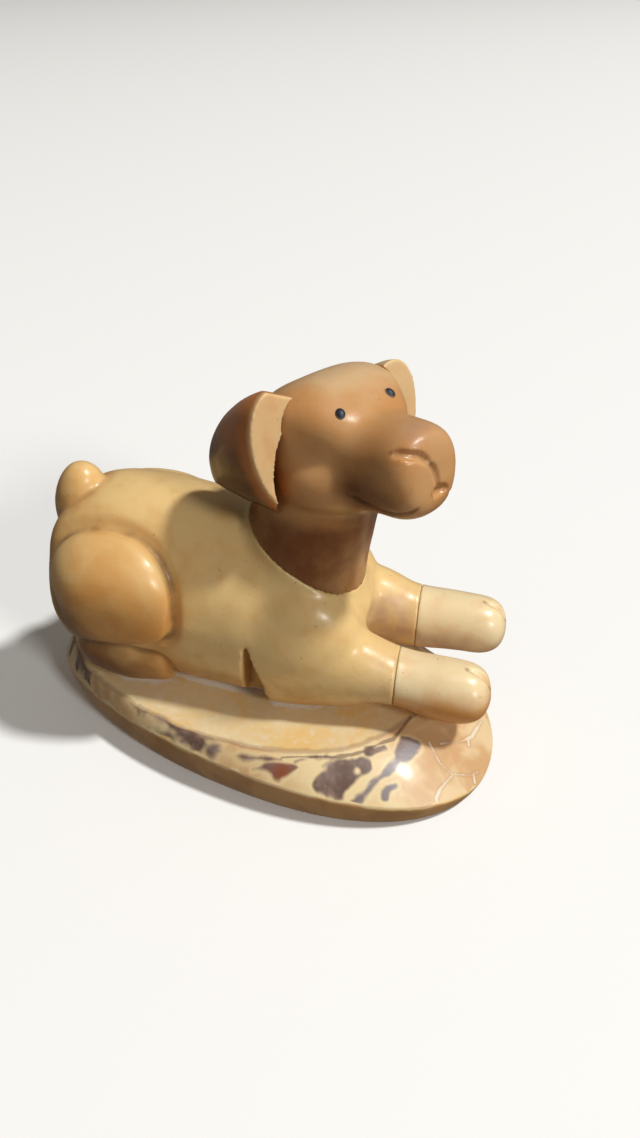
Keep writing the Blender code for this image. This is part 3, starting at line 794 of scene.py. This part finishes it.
def whole_form(tools):
    """The dog without ears and eyes, with the creases round its thighs, feet and tail."""
    core = core_form(tools)
    whole = copy_object(core, "whole form", tools)
    tail = added_form(tail_shape, tools)
    thighs = [added_form(thigh_shape, tools, at) for at in (RIGHT_THIGH, LEFT_THIGH)]
    feet = [added_form(foot_shape, tools, sign) for sign in (-1.0, 1.0)]
    for form in (tail, *thighs, *feet):
        boolean(whole, form, "UNION")
    skin(whole, VOXEL, CRISP_JOIN)
    carve_crease(whole, core, tail, *TAIL_CREASE)
    for thigh, foot in zip(thighs, feet):
        carve_crease(whole, core, thigh, *THIGH_CREASE)
        carve_crease(whole, foot, thigh, *ANKLE_CREASE)
        carve_crease(whole, core, foot, *FOOT_CREASE)
    return whole


def carve_body(whole, pieces, tools):
    body = copy_object(whole, "body_carving", pieces)
    boolean(body, neck_cutter(0.0, tools), "DIFFERENCE")
    under = [(-BEYOND, -BEYOND), (BEYOND, -BEYOND), (BEYOND, BASE_TOP), (-BEYOND, BASE_TOP)]
    boolean(body, prism("ground cutter", under, -BEYOND, BEYOND, tools), "DIFFERENCE")
    for sign, seam in ((-1.0, RIGHT_PAW_SEAM_X), (1.0, LEFT_PAW_SEAM_X)):
        boolean(body, paw_cutter(seam, sign, tools), "DIFFERENCE")
        ends = sorted((sign * ELBOW_NOTCH_IN, sign * BEYOND))
        boolean(body, prism("elbow cutter", ELBOW_NOTCH, *ends, tools), "DIFFERENCE")
    skin(body, BODY_VOXEL, WORN_EDGE)
    wobble(body, *BODY_SWELLS)
    return body


def carve_paw(whole, name, sign, seam, tip, pieces, tools):
    paw = copy_object(whole, name, pieces)
    boolean(paw, paw_cutter(seam, sign, tools), "INTERSECT")
    path, half_width = TOES
    middle = Vector((tip, sign * LEG_OUT, 0.0))
    run = carve_groove(paw, [middle + Vector(p) for p in path], half_width, tools)
    skin(paw, SMALL_VOXEL, WORN_EDGE)
    wobble(paw, *PAW_SWELLS)
    paint_crease_shade(paw, HOLLOW, [run])
    return paw


def carve_head(whole, pieces, tools):
    head = copy_object(whole, "head_carving", pieces)
    boolean(head, neck_cutter(SEAM_GAP, tools), "INTERSECT")
    return head


def finish_head(head, tools):
    place = head_place()
    cuts = [MOUTH, LIP, PHILTRUM, SLOT, (other_side(MOUTH[0]), MOUTH[1])]
    runs = []
    for path, half_width in cuts:
        path = [place @ Vector(p) for p in path]
        runs.append(carve_groove(head, path, GROOVE_WIDER * half_width, tools))
    skin(head, HEAD_VOXEL, GROOVE_EDGE)
    wobble(head, *BODY_SWELLS)
    return runs


def carve_ear(name, middle, grown_head, pieces, tools):
    """An ear shaped to the head, with its edges worn a little round."""
    bm = bmesh.new()
    ear_shape(bm, middle)
    ear = mesh_object(name, bm, pieces)
    skin(ear, EAR_VOXEL, EAR_JOIN)
    sign = math.copysign(1.0, middle[1])
    for cutter in (
        ear_front_cutter(tools),
        ear_slope_cutter(sign, *EAR_OVER, BEYOND, tools),
        ear_slope_cutter(sign, *EAR_UNDER, -BEYOND, tools),
        ear_groove_cutter(tools),
    ):
        boolean(ear, cutter, "DIFFERENCE")
    ear.data.transform(head_place())
    boolean(ear, grown_head, "DIFFERENCE")
    skin(ear, SMALL_VOXEL, WORN_EDGE)
    wobble(ear, *EAR_SWELLS)
    return ear


def set_eye(head, name, aim, pieces):
    tree = surface_tree(head)
    spot, normal, _, _ = tree.find_nearest(head_place() @ Vector(aim))
    out = normal.to_track_quat("X", "Z").to_matrix().to_4x4()
    bm = bmesh.new()
    bmesh.ops.create_uvsphere(
        bm,
        u_segments=EYE_SEGMENTS,
        v_segments=EYE_RINGS,
        radius=1.0,
        matrix=Matrix.Translation(spot) @ out @ Matrix.Diagonal((*EYE_RADII, 1.0)),
    )
    eye = mesh_object(name, bm, pieces)
    from_axis = out.inverted() @ Matrix.Translation(-spot)
    across = [(from_axis @ v.co) for v in eye.data.vertices]
    paint(eye, "ring", [math.hypot(p.y / EYE_RADII[1], p.z / EYE_RADII[2]) for p in across])
    return eye


def wobble(target, size, height):
    """The slight unevenness of a surface that was filed and polished by hand."""
    points, normals = points_and_normals(target.data)
    lift = [noise.fractal(Vector(p) / size, 0.6, 2.0, 2) for p in points]
    points += normals * (height * np.array(lift))[:, None]
    target.data.vertices.foreach_set("co", points.ravel())
    target.data.update()


def slice_mesh(bm):
    """The base slice in fine rings, with softened edges."""
    loops = []
    for k in range(SIDE_RINGS + 1):
        t = k / SIDE_RINGS
        lift = t**1.4

        def inset(a, t=t, lift=lift):
            z = rim_edge(a) * lift
            corner = LOW_EDGE * max(0.0, 1.0 - z / LOW_EDGE) ** 2
            return side_inset(a, z) + corner

        loops.append(base_ring(bm, inset, lambda a, lift=lift: rim_edge(a) * lift))
    for k in range(1, RIM_RINGS + 1):
        t = k / RIM_RINGS
        loops.append(
            base_ring(bm, lambda a, t=t: t * rim_width(a), lambda a, t=t: rim_height(a, t))
        )
    for k in range(1, TOP_RINGS):
        t = (k / TOP_RINGS) ** 0.8
        loops.append(
            base_ring(
                bm,
                lambda a, t=t: rim_width(a) + t * (BASE_HALF_WIDTH - rim_width(a)) * 0.98,
                lambda a: BASE_TOP,
            )
        )
    bridge(bm, loops)


def side_inset(a, z):
    """How far the slice's side leans in at height z: as the CAD's three rings do."""
    edge = rim_edge(a)
    heights = (0.0, 0.3 * edge, 0.8 * edge, edge)
    insets = (BASE_UNDERCUT, 0.4 * BASE_UNDERCUT, 0.0, 0.0)
    return float(np.interp(z, heights, insets))


def rim_height(a, t):
    lift = 0.5 * t + 0.5 * math.sin(t * math.pi / 2.0)
    return rim_edge(a) + (BASE_TOP - rim_edge(a)) * lift


def drawing_shift():
    """From the drawing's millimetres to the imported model's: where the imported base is."""
    bm = bmesh.new()
    low = base_ring(bm, lambda a: 0.0, lambda a: 0.0)
    corner = Vector([min(v.co[i] for v in low) for i in range(3)])
    bm.free()
    packed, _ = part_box("base")
    return packed / MM - corner


def paint(piece, name, values):
    """Keeps one number a point on the mesh, for its material to read."""
    layer = piece.data.attributes.new(name, "FLOAT", "POINT")
    layer.data.foreach_set("value", np.asarray(values, np.float32))


def put(tree, kind, inputs=(), **settings):
    """A shader node with its settings, and its inputs set or linked."""
    made = tree.nodes.new(kind)
    for key, value in settings.items():
        setattr(made, key, value)
    for key, value in dict(inputs).items():
        if isinstance(value, bpy.types.NodeSocket):
            tree.links.new(value, made.inputs[key])
        else:
            made.inputs[key].default_value = value
    return made


def shader_colour(tone):
    """A tone from 0 to 255 as a shader's socket wants it."""
    parts = [part / 255.0 for part in tone]
    linear = [c / 12.92 if c <= 0.04045 else ((c + 0.055) / 1.055) ** 2.4 for c in parts]
    return (*linear, 1.0)


def mix(tree, share, a, b):
    """Colour a, a tone or a socket, goes over into colour b by share."""
    made = put(tree, "ShaderNodeMix", data_type="RGBA")
    for socket, value in ((made.inputs[0], share), (made.inputs[6], a), (made.inputs[7], b)):
        if isinstance(value, bpy.types.NodeSocket):
            tree.links.new(value, socket)
        elif isinstance(value, tuple):
            socket.default_value = shader_colour(value)
        else:
            socket.default_value = value
    return made.outputs[2]


def sums(tree, operation, a, b=0.0):
    """One step of arithmetic."""
    made = put(tree, "ShaderNodeMath", {0: a, 1: b}, operation=operation)
    return made.outputs[0]


def step(tree, value, low, high, to_low=0.0, to_high=1.0):
    """A smooth step from to_low to to_high while value goes from low to high."""
    inputs = {"Value": value, 1: low, 2: high, 3: to_low, 4: to_high}
    made = put(tree, "ShaderNodeMapRange", inputs, interpolation_type="SMOOTHSTEP")
    return made.outputs[0]


def painted(tree, name):
    """The number that paint keeps on the mesh under this name."""
    return put(tree, "ShaderNodeAttribute", attribute_name=name).outputs["Fac"]


def grain(tree, size, detail=3.0, distortion=0.0, seed=0.0):
    """Noise with marks of about this size in millimetres."""
    where = put(tree, "ShaderNodeTexCoord").outputs["Object"]
    scale = 1.0 / (MM * size)
    place = put(tree, "ShaderNodeMapping", {"Vector": where, "Scale": (scale, scale, scale)})
    place.inputs["Location"].default_value = (seed, 0.7 * seed, 0.3 * seed)
    inputs = {"Vector": place.outputs[0], "Scale": 1.0, "Detail": detail}
    made = put(tree, "ShaderNodeTexNoise", {**inputs, "Distortion": distortion})
    return made.outputs[0]


def roughened(tree, name, ragged, amount):
    """A painted distance whose edge wanders by this amount."""
    return sums(tree, "ADD", painted(tree, name), sums(tree, "MULTIPLY", ragged, amount))


def new_look(name):
    made = bpy.data.materials.new(name)
    made.use_nodes = True
    return made, made.node_tree, made.node_tree.nodes["Principled BSDF"]


def polish(tree, shader, roughness):
    """The filed and waxed surface: a soft gloss, a little translucent."""
    fine = grain(tree, 0.6, detail=4.0, seed=3.0)
    rubbed = grain(tree, 3.0, detail=4.0, seed=9.0)
    uneven = step(tree, rubbed, 0.3, 0.75, roughness, 1.35 * roughness)
    tree.links.new(uneven, shader.inputs["Roughness"])
    ripples = {"Height": fine, "Distance": RIPPLE * MM, "Strength": 1.0}
    lift = put(tree, "ShaderNodeBump", ripples)
    tree.links.new(lift.outputs[0], shader.inputs["Normal"])
    shader.inputs["IOR"].default_value = NUT_IOR
    shader.inputs["Subsurface Weight"].default_value = 0.3
    shader.inputs["Subsurface Radius"].default_value = (1.0, 0.5, 0.2)
    shader.inputs["Subsurface Scale"].default_value = GLOW_DEPTH * MM
    shader.inputs["Coat Weight"].default_value = 0.1
    shader.inputs["Specular IOR Level"].default_value = 0.38
    shader.inputs["Coat Roughness"].default_value = 0.12


def plain_material(name, colour, roughness):
    made, _, shader = new_look(name)
    shader.inputs["Base Color"].default_value = (*colour, 1.0)
    shader.inputs["Roughness"].default_value = roughness
    return made


def nut_ivory(name, tones):
    """Polished nut flesh: cloudy, warmer where painted warm, with painted shade in its grooves.
    """
    made, tree, shader = new_look(name)
    pale, warm, dark = tones
    cloud = grain(tree, 7.0, detail=3.0, distortion=0.6, seed=1.0)
    fibre = grain(tree, 2.2, detail=4.0, seed=5.0)
    share = sums(tree, "ADD", painted(tree, "warm"), step(tree, cloud, 0.35, 0.75, -0.12, 0.25))
    colour = mix(tree, step(tree, share, 0.0, 1.0), pale, warm)
    colour = mix(tree, step(tree, fibre, 0.45, 0.8, 0.0, 0.3), colour, warm)
    # Dark brown: the nut's own stains, and painted shade where the paint puts it.
    stained = sums(tree, "ADD", painted(tree, "brown"), step(tree, fibre, 0.3, 0.7, -0.06, 0.06))
    colour = mix(tree, step(tree, stained, 0.05, 0.95), colour, dark)
    # Mauve: the nut's tint, and painted sheen and reflection where the paint puts it.
    mauve = sums(tree, "MULTIPLY", painted(tree, "mauve"), step(tree, fibre, 0.2, 0.7, 0.2, 1.0))
    colour = mix(tree, mauve, colour, MAUVE_AND_SHEEN)
    specks = grain(tree, 0.45, detail=1.0, seed=20.0)
    colour = mix(tree, step(tree, specks, 0.74, 0.8, 0.0, 0.45), colour, dark)
    # Painted shade: hollows, creases and the cut grooves darkened to brown.
    crease_shade = step(tree, painted(tree, "crease_shade"), 0.12, 0.9, 0.0, 0.75)
    colour = mix(tree, crease_shade, colour, GROOVE_SHADE_BROWN)
    # Whitish glue, and the painted highlight on the foot's top edge, which is painted with it.
    glue = step(tree, sums(tree, "ADD", painted(tree, "glue"), fibre), 0.85, 1.3, 0.0, 0.85)
    colour = mix(tree, glue, colour, NUT_GLUE_AND_HIGHLIGHT)
    tree.links.new(colour, shader.inputs["Base Color"])
    polish(tree, shader, NUT_ROUGHNESS)
    return made


def eye_look(name):
    """A dark bead with a thin pale ring of glue where it meets the head."""
    made, tree, shader = new_look(name)
    ring = step(tree, painted(tree, "ring"), 0.86, 0.94)
    colour = mix(tree, ring, EYE_DARK, EYE_GLUE)
    tree.links.new(colour, shader.inputs["Base Color"])
    shader.inputs["Roughness"].default_value = EYE_ROUGHNESS
    return made


def slice_look(name):
    """The sawn and polished slice: honey flesh inside, stained skin on the rim."""
    made, tree, shader = new_look(name)
    waver = grain(tree, 4.2, detail=2.5, distortion=0.9, seed=2.0)
    ragged = step(tree, waver, 0.25, 0.75, -0.5, 0.5)
    cloud = grain(tree, 5.0, detail=3.0, distortion=0.5, seed=7.0)
    fine = grain(tree, 0.9, detail=5.0, seed=11.0)

    flesh = mix(tree, step(tree, cloud, 0.4, 0.7), FLESH_PALE, FLESH_HONEY)
    flesh = mix(tree, step(tree, fine, 0.45, 0.8, 0.0, 0.6), flesh, FLESH_HAZE)

    bare = mix(tree, step(tree, cloud, 0.42, 0.66), SKIN_TAN, SKIN_PALE)
    bare = mix(tree, painted(tree, "cream"), bare, SKIN_CREAM)
    frays = grain(tree, 2.4, detail=1.5, distortion=0.5, seed=5.0)
    frayed = step(tree, frays, 0.25, 0.75, -0.22, 0.22)
    inside = sums(tree, "ADD", roughened(tree, "stain", ragged, 0.4), frayed)
    skin_look = mix(tree, step(tree, inside, 0.1, 0.6, 0.65, 0.0), bare, STAIN_HALO)

    plum = mix(tree, step(tree, waver, 0.35, 0.65), PLUM_DARK, PLUM_LIGHT)
    mottle = grain(tree, 1.6, detail=4.0, distortion=1.2, seed=21.0)
    plum = mix(tree, step(tree, mottle, 0.45, 0.8, 0.0, 0.5), plum, PLUM_MOTTLE)
    plum = mix(tree, painted(tree, "slate"), plum, STAIN_SLATE)
    plum = mix(tree, painted(tree, "red"), plum, STAIN_RED)
    skin_look = mix(tree, step(tree, inside, -0.3, 0.2, 0.95, 0.0), skin_look, plum)

    crack = roughened(tree, "crack", ragged, 0.22)
    shade = step(tree, crack, 0.12, 0.42, 0.28, 0.0)
    skin_look = mix(tree, shade, skin_look, CRACK_SHADE)
    pale = step(tree, crack, 0.03, 0.2, 0.85, 0.0)
    skin_look = mix(tree, pale, skin_look, CRACK_PALE)

    from_top = roughened(tree, "from_top", ragged, 0.35)
    from_low = roughened(tree, "from_low", ragged, 0.6)
    rim_ends = (step(tree, from_top, -0.1, 0.1), step(tree, from_low, -0.1, 0.1))
    on_rim = sums(tree, "MULTIPLY", *rim_ends)
    side = mix(tree, step(tree, cloud, 0.35, 0.7), SIDE_LIGHT, SIDE_DARK)
    colour = mix(tree, step(tree, from_low, -0.6, 0.0), side, flesh)
    colour = mix(tree, on_rim, colour, skin_look)

    border = step(tree, sums(tree, "ABSOLUTE", from_top), 0.08, 0.36, 0.4, 0.0)
    colour = mix(tree, border, colour, RIM_BORDER)
    scribed = step(tree, roughened(tree, "scribed", ragged, 0.3), 0.08, 0.22, 0.7, 0.0)
    colour = mix(tree, scribed, colour, SCRIBED_BROWN)
    glue = step(tree, sums(tree, "ADD", painted(tree, "glue"), fine), 0.72, 1.15, 0.0, 0.9)
    colour = mix(tree, glue, colour, SLICE_GLUE)
    tree.links.new(colour, shader.inputs["Base Color"])
    polish(tree, shader, SLICE_ROUGHNESS)
    return made


def ramp(values, start, end):
    """0 at start and 1 at end, whichever of the two is higher, and straight between."""
    return np.clip((values - start) / (end - start), 0.0, 1.0)


def blob(points, centre, radii):
    """1 at centre, fading out over these radii."""
    away = (points - np.array(centre)) / np.array(radii)
    return np.exp(-np.sum(away * away, axis=1))


def patches(points, spots):
    """The sum of soft patches, each a share, a middle and how far it reaches."""
    return sum(share * blob(points, centre, radii) for share, centre, radii in spots)


def distance_to_run(points, run):
    """How far points are from a run of points, in two or three dimensions."""
    run = np.array([tuple(p) for p in run])
    nearest = np.full(len(points), 1e9)
    for a, b in zip(run, run[1:]):
        along = b - a
        t = np.clip((points - a) @ along / max(along @ along, 1e-9), 0.0, 1.0)
        nearest = np.minimum(nearest, np.linalg.norm(points - a - t[:, None] * along, axis=1))
    return nearest


def distance_to_outline(flat, outline):
    """How far points in X and Y are from a closed outline, less than 0 inside it."""
    inside = np.zeros(len(flat), bool)
    x, y = flat.T
    for (ax, ay), (bx, by) in zip(outline, [*outline[1:], outline[0]]):
        crosses = (ay > y) != (by > y)
        inside ^= crosses & (x < (bx - ax) * (y - ay) / (by - ay + 1e-12) + ax)
    away = distance_to_run(flat, [*outline, outline[0]])
    return np.where(inside, -away, away)


def neighbour_mean(mesh, values):
    """Each point's value averaged over the points next to it."""
    ends = np.empty(2 * len(mesh.edges), np.int32)
    mesh.edges.foreach_get("vertices", ends)
    a, b = ends[::2], ends[1::2]
    total = np.zeros_like(values)
    count = np.zeros(len(values))
    for one, other in ((a, b), (b, a)):
        np.add.at(total, one, values[other])
        np.add.at(count, one, 1.0)
    return total / count.reshape((-1,) + (1,) * (values.ndim - 1))


def paint_crease_shade(piece, size, runs=()):
    """Painted shade where the surface is hollow, as in a crease, by this size, or near the cut
    grooves.
    """
    points, normals = points_and_normals(piece.data)
    even = points
    for _ in range(4):
        even = neighbour_mean(piece.data, even)
    hollow = np.sum((even - points) * normals, axis=1) / size
    for _ in range(4):
        hollow = neighbour_mean(piece.data, hollow)
    for run in runs:
        hollow = np.maximum(hollow, 0.9 - distance_to_run(points, run) / GROOVE_SHADE_REACH)
    paint(piece, "crease_shade", np.clip(hollow, 0.0, 1.0))


def paint_body(body):
    points, _ = points_and_normals(body.data)
    x, _, z = points.T
    low = ramp(z, BASE_TOP + 1.0, BASE_TOP + 0.3)
    seam = np.abs(z - NECK_CUT_AT_X0 - NECK_CUT_SLOPE * x)
    edge = ramp(seam, 0.45, 0.0) * ramp(x, 4.0, -2.0)
    # The painted highlight along the near foot's top edge, which goes into the glue paint.
    ledge_highlight = patches(points, FOOT_LEDGE_HIGHLIGHT)
    # Warmer towards the bottom: partly the nut's tone, partly painted shade on the lower body.
    paint(body, "warm", patches(points, BODY_WARM_AND_GLOW) + 0.55 * ramp(z, 16.0, 9.0))
    paint(body, "brown", patches(points, BODY_BROWN_AND_SHADE))
    paint(body, "mauve", patches(points, BODY_MAUVE_AND_REFLECTION))
    paint(body, "glue", np.maximum.reduce([low, 0.7 * edge, 0.5 * ledge_highlight]))


def in_head_axes(piece):
    points, _ = points_and_normals(piece.data)
    to_head = np.array(head_place().inverted())
    return points @ to_head[:3, :3].T + to_head[:3, 3]


def paint_head(head):
    points, _ = points_and_normals(head.data)
    local = in_head_axes(head)
    # Painted shade: the lower head and neck darker brown under the head, also a browner nut
    # there; less at the neck's front, and more on the muzzle's near side.
    brown = 0.78 * ramp(points[:, 2], 36.0, 32.0)
    brown += patches(points, NECK_FRONT_LESS_SHADE) + patches(local, LOCAL_MUZZLE_SHADE)
    paint(head, "warm", 0.75 + patches(local, LOCAL_HEAD_WARM))
    paint(head, "brown", np.clip(brown, 0.0, 1.0))
    paint(head, "mauve", patches(local, LOCAL_HEAD_MAUVE))


def paint_ear(ear, sign):
    """The near ear: pale on its flat face; behind that orange, partly a painted glow of light
    through its edge; dark brown low behind, partly painted shade; and a painted mauve sheen
    higher up.
    """
    local = in_head_axes(ear)
    behind = EAR_FRONT - local[:, 0]
    low = ramp(local[:, 2], 4.5, -0.5)
    if sign < 0.0:
        paint(ear, "warm", ramp(behind, 0.1, 1.0))
        paint(ear, "brown", ramp(behind, 0.5, 2.7) * low)
        paint(ear, "mauve", 0.5 * ramp(behind, 1.6, 3.6) * (1.0 - low))
    else:
        paint(ear, "warm", 0.3 * low)


def paint_paw(paw, sign):
    """Both are warmer underneath, and the far one has a mauve streak low on its inner side, a
    painted reflection in its shade.
    """
    points, _ = points_and_normals(paw.data)
    if sign < 0.0:
        paint(paw, "warm", ramp(points[:, 2], 15.2, 11.6))
    else:
        paint(paw, "warm", 0.5 * ramp(points[:, 2], 13.5, 10.5))
        paint(paw, "mauve", patches(points, LEFT_PAW_REFLECTION))


def slice_distances(points):
    """How far the slice's points are from the rim's inner edge and from its outer one."""
    from_top = np.empty(len(points))
    from_low = np.empty(len(points))
    for i in range(len(points)):
        ring, spoke = divmod(i, BASE_SEGMENTS)
        a = 2.0 * math.pi * spoke / BASE_SEGMENTS
        width = rim_width(a)
        if ring <= SIDE_RINGS:
            from_top[i] = width
            from_low[i] = points[i, 2] - rim_edge(a)
        elif ring <= SIDE_RINGS + RIM_RINGS:
            t = (ring - SIDE_RINGS) / RIM_RINGS
            from_top[i] = (1.0 - t) * width
            from_low[i] = t * width
        else:
            t = (ring - SIDE_RINGS - RIM_RINGS) / TOP_RINGS
            from_top[i] = -t * (BASE_HALF_WIDTH - width)
            from_low[i] = width
    return from_top, from_low


def stain_distance(flat, from_top):
    """How far points are from the nearest stain, less than 0 inside it."""
    x, y = flat.T
    stain = np.full(len(flat), 9.0)
    for run, half_width in STAINS:
        stain = np.minimum(stain, distance_to_run(flat, run) - half_width)
    for outline in BLOTCHES:
        corners = [(px, py, 0.0) for px, py in (*outline, outline[0])]
        rounded = [(p.x, p.y) for p in smooth_path(corners, 4)[:-1]]
        stain = np.minimum(stain, distance_to_outline(flat, rounded))
    hole_x, hole_y, hole_size = STAIN_HOLE
    stain = np.maximum(stain, hole_size - np.hypot(x - hole_x, y - hole_y))
    far_rim = (y > FAR_RIM_AT_X0 + FAR_RIM_SLOPE * x) & (from_top > -1.0)
    for i in np.nonzero(far_rim)[0]:
        place = Vector((x[i], y[i], 0.0)) / FAR_STAIN_SIZE + Vector((7.0, 3.0, 0.0))
        stain[i] = min(stain[i], 3.0 * (FAR_STAIN_LEVEL - noise.noise(place)))
    return stain * (0.4 + 0.6 * ramp(x, -1.0, 3.0))


def round_spot(flat, spot):
    """1 in the middle of a spot of X, Y and size, fading out over its size."""
    x, y, size = spot
    return np.exp(-((flat[:, 0] - x) ** 2 + (flat[:, 1] - y) ** 2) / size**2)


def glue_share(points, where, body):
    """How much glue lies at these points of the slice: most against the dog."""
    tree = surface_tree(body)
    glue = np.zeros(len(points))
    for i in np.nonzero(where)[0]:
        near = tree.find_nearest(points[i], GLUE_REACH)
        if near[0] is not None:
            glue[i] = min(1.0, 1.6 * (GLUE_REACH - near[3]))
    return glue


def paint_slice(base, body):
    """Distances, in millimetres, and shares that the slice's look turns into marks."""
    points, _ = points_and_normals(base.data)
    flat = points[:, :2]
    from_top, from_low = slice_distances(points)
    for name, distance in (
        ("stain", stain_distance(flat, from_top)),
        ("crack", np.min([distance_to_run(flat, run) for run in CRACKS], axis=0)),
        ("scribed", distance_to_run(flat, SCRIBED)),
    ):
        paint(base, name, np.minimum(distance, 3.0))
    paint(base, "from_top", from_top)
    paint(base, "from_low", from_low)
    paint(base, "cream", round_spot(flat, CREAM_PLACE))
    paint(base, "red", round_spot(flat, RED_SPOT))
    paint(base, "slate", ramp(flat[:, 0] - 0.6 * flat[:, 1], 24.6, 26.1))
    paint(base, "glue", glue_share(points, from_top < 0.0, body))


def place_camera(shift):
    """Stands the camera so that the photograph's pixel AIM_PIXEL shows the point AIM."""
    c, s = math.cos(CAMERA_TURN), math.sin(CAMERA_TURN)
    rise, flat = math.sin(CAMERA_RISE), math.cos(CAMERA_RISE)
    back = Vector((s * flat, -c * flat, rise))
    right = Vector((c, s, 0.0))
    up = back.cross(right)
    off_x = (AIM_PIXEL[0] - FRAME_PIXELS[0] / 2.0) / FOCAL_PIXELS
    off_y = (FRAME_PIXELS[1] / 2.0 - AIM_PIXEL[1]) / FOCAL_PIXELS
    spot = Vector(AIM) + CAMERA_DISTANCE * (back - off_x * right - off_y * up)
    data = bpy.data.cameras.new("camera")
    data.sensor_width = SENSOR
    data.lens = FOCAL_PIXELS / max(FRAME_PIXELS) * SENSOR
    data.clip_start = 0.005
    data.clip_end = 20.0
    camera = bpy.data.objects.new("camera", data)
    bpy.context.scene.collection.objects.link(camera)
    place = Matrix((right, up, back)).transposed().to_4x4()
    place.translation = (spot + shift) * MM
    camera.matrix_world = place
    bpy.context.scene.camera = camera


def area_light(name, away, size, power, colour):
    """A round lamp that lies this way from the dog and looks at it."""
    data = bpy.data.lights.new(name, "AREA")
    data.shape = "DISK"
    data.size = size
    data.energy = power
    data.color = colour
    lamp = bpy.data.objects.new(name, data)
    bpy.context.scene.collection.objects.link(lamp)
    away = Vector(away).normalized()
    lamp.location = Vector(LIGHT_AIM) + away * LIGHT_DISTANCE
    lamp.rotation_euler = away.to_track_quat("Z", "Y").to_euler()


def light_scene():
    for name, settings in LIGHTS.items():
        area_light(name, *settings)
    world = bpy.data.worlds.new("studio")
    world.use_nodes = True
    sky = world.node_tree.nodes["Background"]
    sky.inputs["Color"].default_value = SKY_COLOUR
    sky.inputs["Strength"].default_value = SKY_STRENGTH
    bpy.context.scene.world = world
    bpy.context.scene.view_settings.view_transform = "Standard"


def lay_floor():
    bm = bmesh.new()
    bmesh.ops.create_grid(bm, x_segments=1, y_segments=1, size=FLOOR_HALF_SIZE)
    floor = mesh_object("floor", bm, bpy.context.scene.collection)
    floor.data.materials.append(plain_material("floor", FLOOR_COLOUR, FLOOR_ROUGHNESS))
    floor.visible_diffuse = False
    floor.visible_glossy = False


def main():
    shift = drawing_shift()
    pieces = bpy.data.collections.new("carving")
    tools = bpy.data.collections.new("tools")
    for collection in (pieces, tools):
        bpy.context.scene.collection.children.link(collection)
    place_camera(shift)
    light_scene()
    lay_floor()

    whole = whole_form(tools)
    body = carve_body(whole, pieces, tools)
    shown = {"body": body}
    for side, sign, seam, tip in (
        ("right", -1.0, RIGHT_PAW_SEAM_X, RIGHT_PAW_TIP_X),
        ("left", 1.0, LEFT_PAW_SEAM_X, LEFT_PAW_TIP_X),
    ):
        paw = carve_paw(whole, side + "_paw_carving", sign, seam, tip, pieces, tools)
        paint_paw(paw, sign)
        shown[side + "_paw"] = paw
    head = carve_head(whole, pieces, tools)
    grown_head = copy_object(head, "grown head form", tools)
    grow(grown_head, SEAM_GAP)
    for side, sign, middle in (("right", -1.0, RIGHT_EAR), ("left", 1.0, LEFT_EAR)):
        ear = carve_ear(side + "_ear_carving", middle, grown_head, pieces, tools)
        paint_crease_shade(ear, HOLLOW)
        paint_ear(ear, sign)
        shown[side + "_ear"] = ear
    grooves = finish_head(head, tools)
    for side, aim in (("right", RIGHT_EYE), ("left", LEFT_EYE)):
        shown[side + "_eye"] = set_eye(head, side + "_eye_bead", aim, pieces)
    bm = bmesh.new()
    slice_mesh(bm)
    base = mesh_object("base_slice", bm, pieces)
    shown.update(head=head, base=base)

    paint_crease_shade(body, HOLLOW)
    paint_crease_shade(head, HEAD_HOLLOW, grooves)
    paint_body(body)
    paint_head(head)
    paint_slice(base, body)

    looks = {node: nut_ivory(node + "_look", tones) for node, tones in NUT_TONES.items()}
    looks["base"] = slice_look("slice_look")
    looks["right_eye"] = looks["left_eye"] = eye_look("eye_look")
    place = Matrix.Scale(MM, 4) @ Matrix.Translation(shift)
    for node, piece in shown.items():
        piece.data.transform(place)
        piece.data.materials.clear()
        piece.data.materials.append(looks[node])
        for face in piece.data.polygons:
            face.use_smooth = True
        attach(piece, "root")
        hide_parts(node)
    for tool in list(tools.objects):
        bpy.data.objects.remove(tool, do_unlink=True)
    bpy.data.collections.remove(tools)


main()
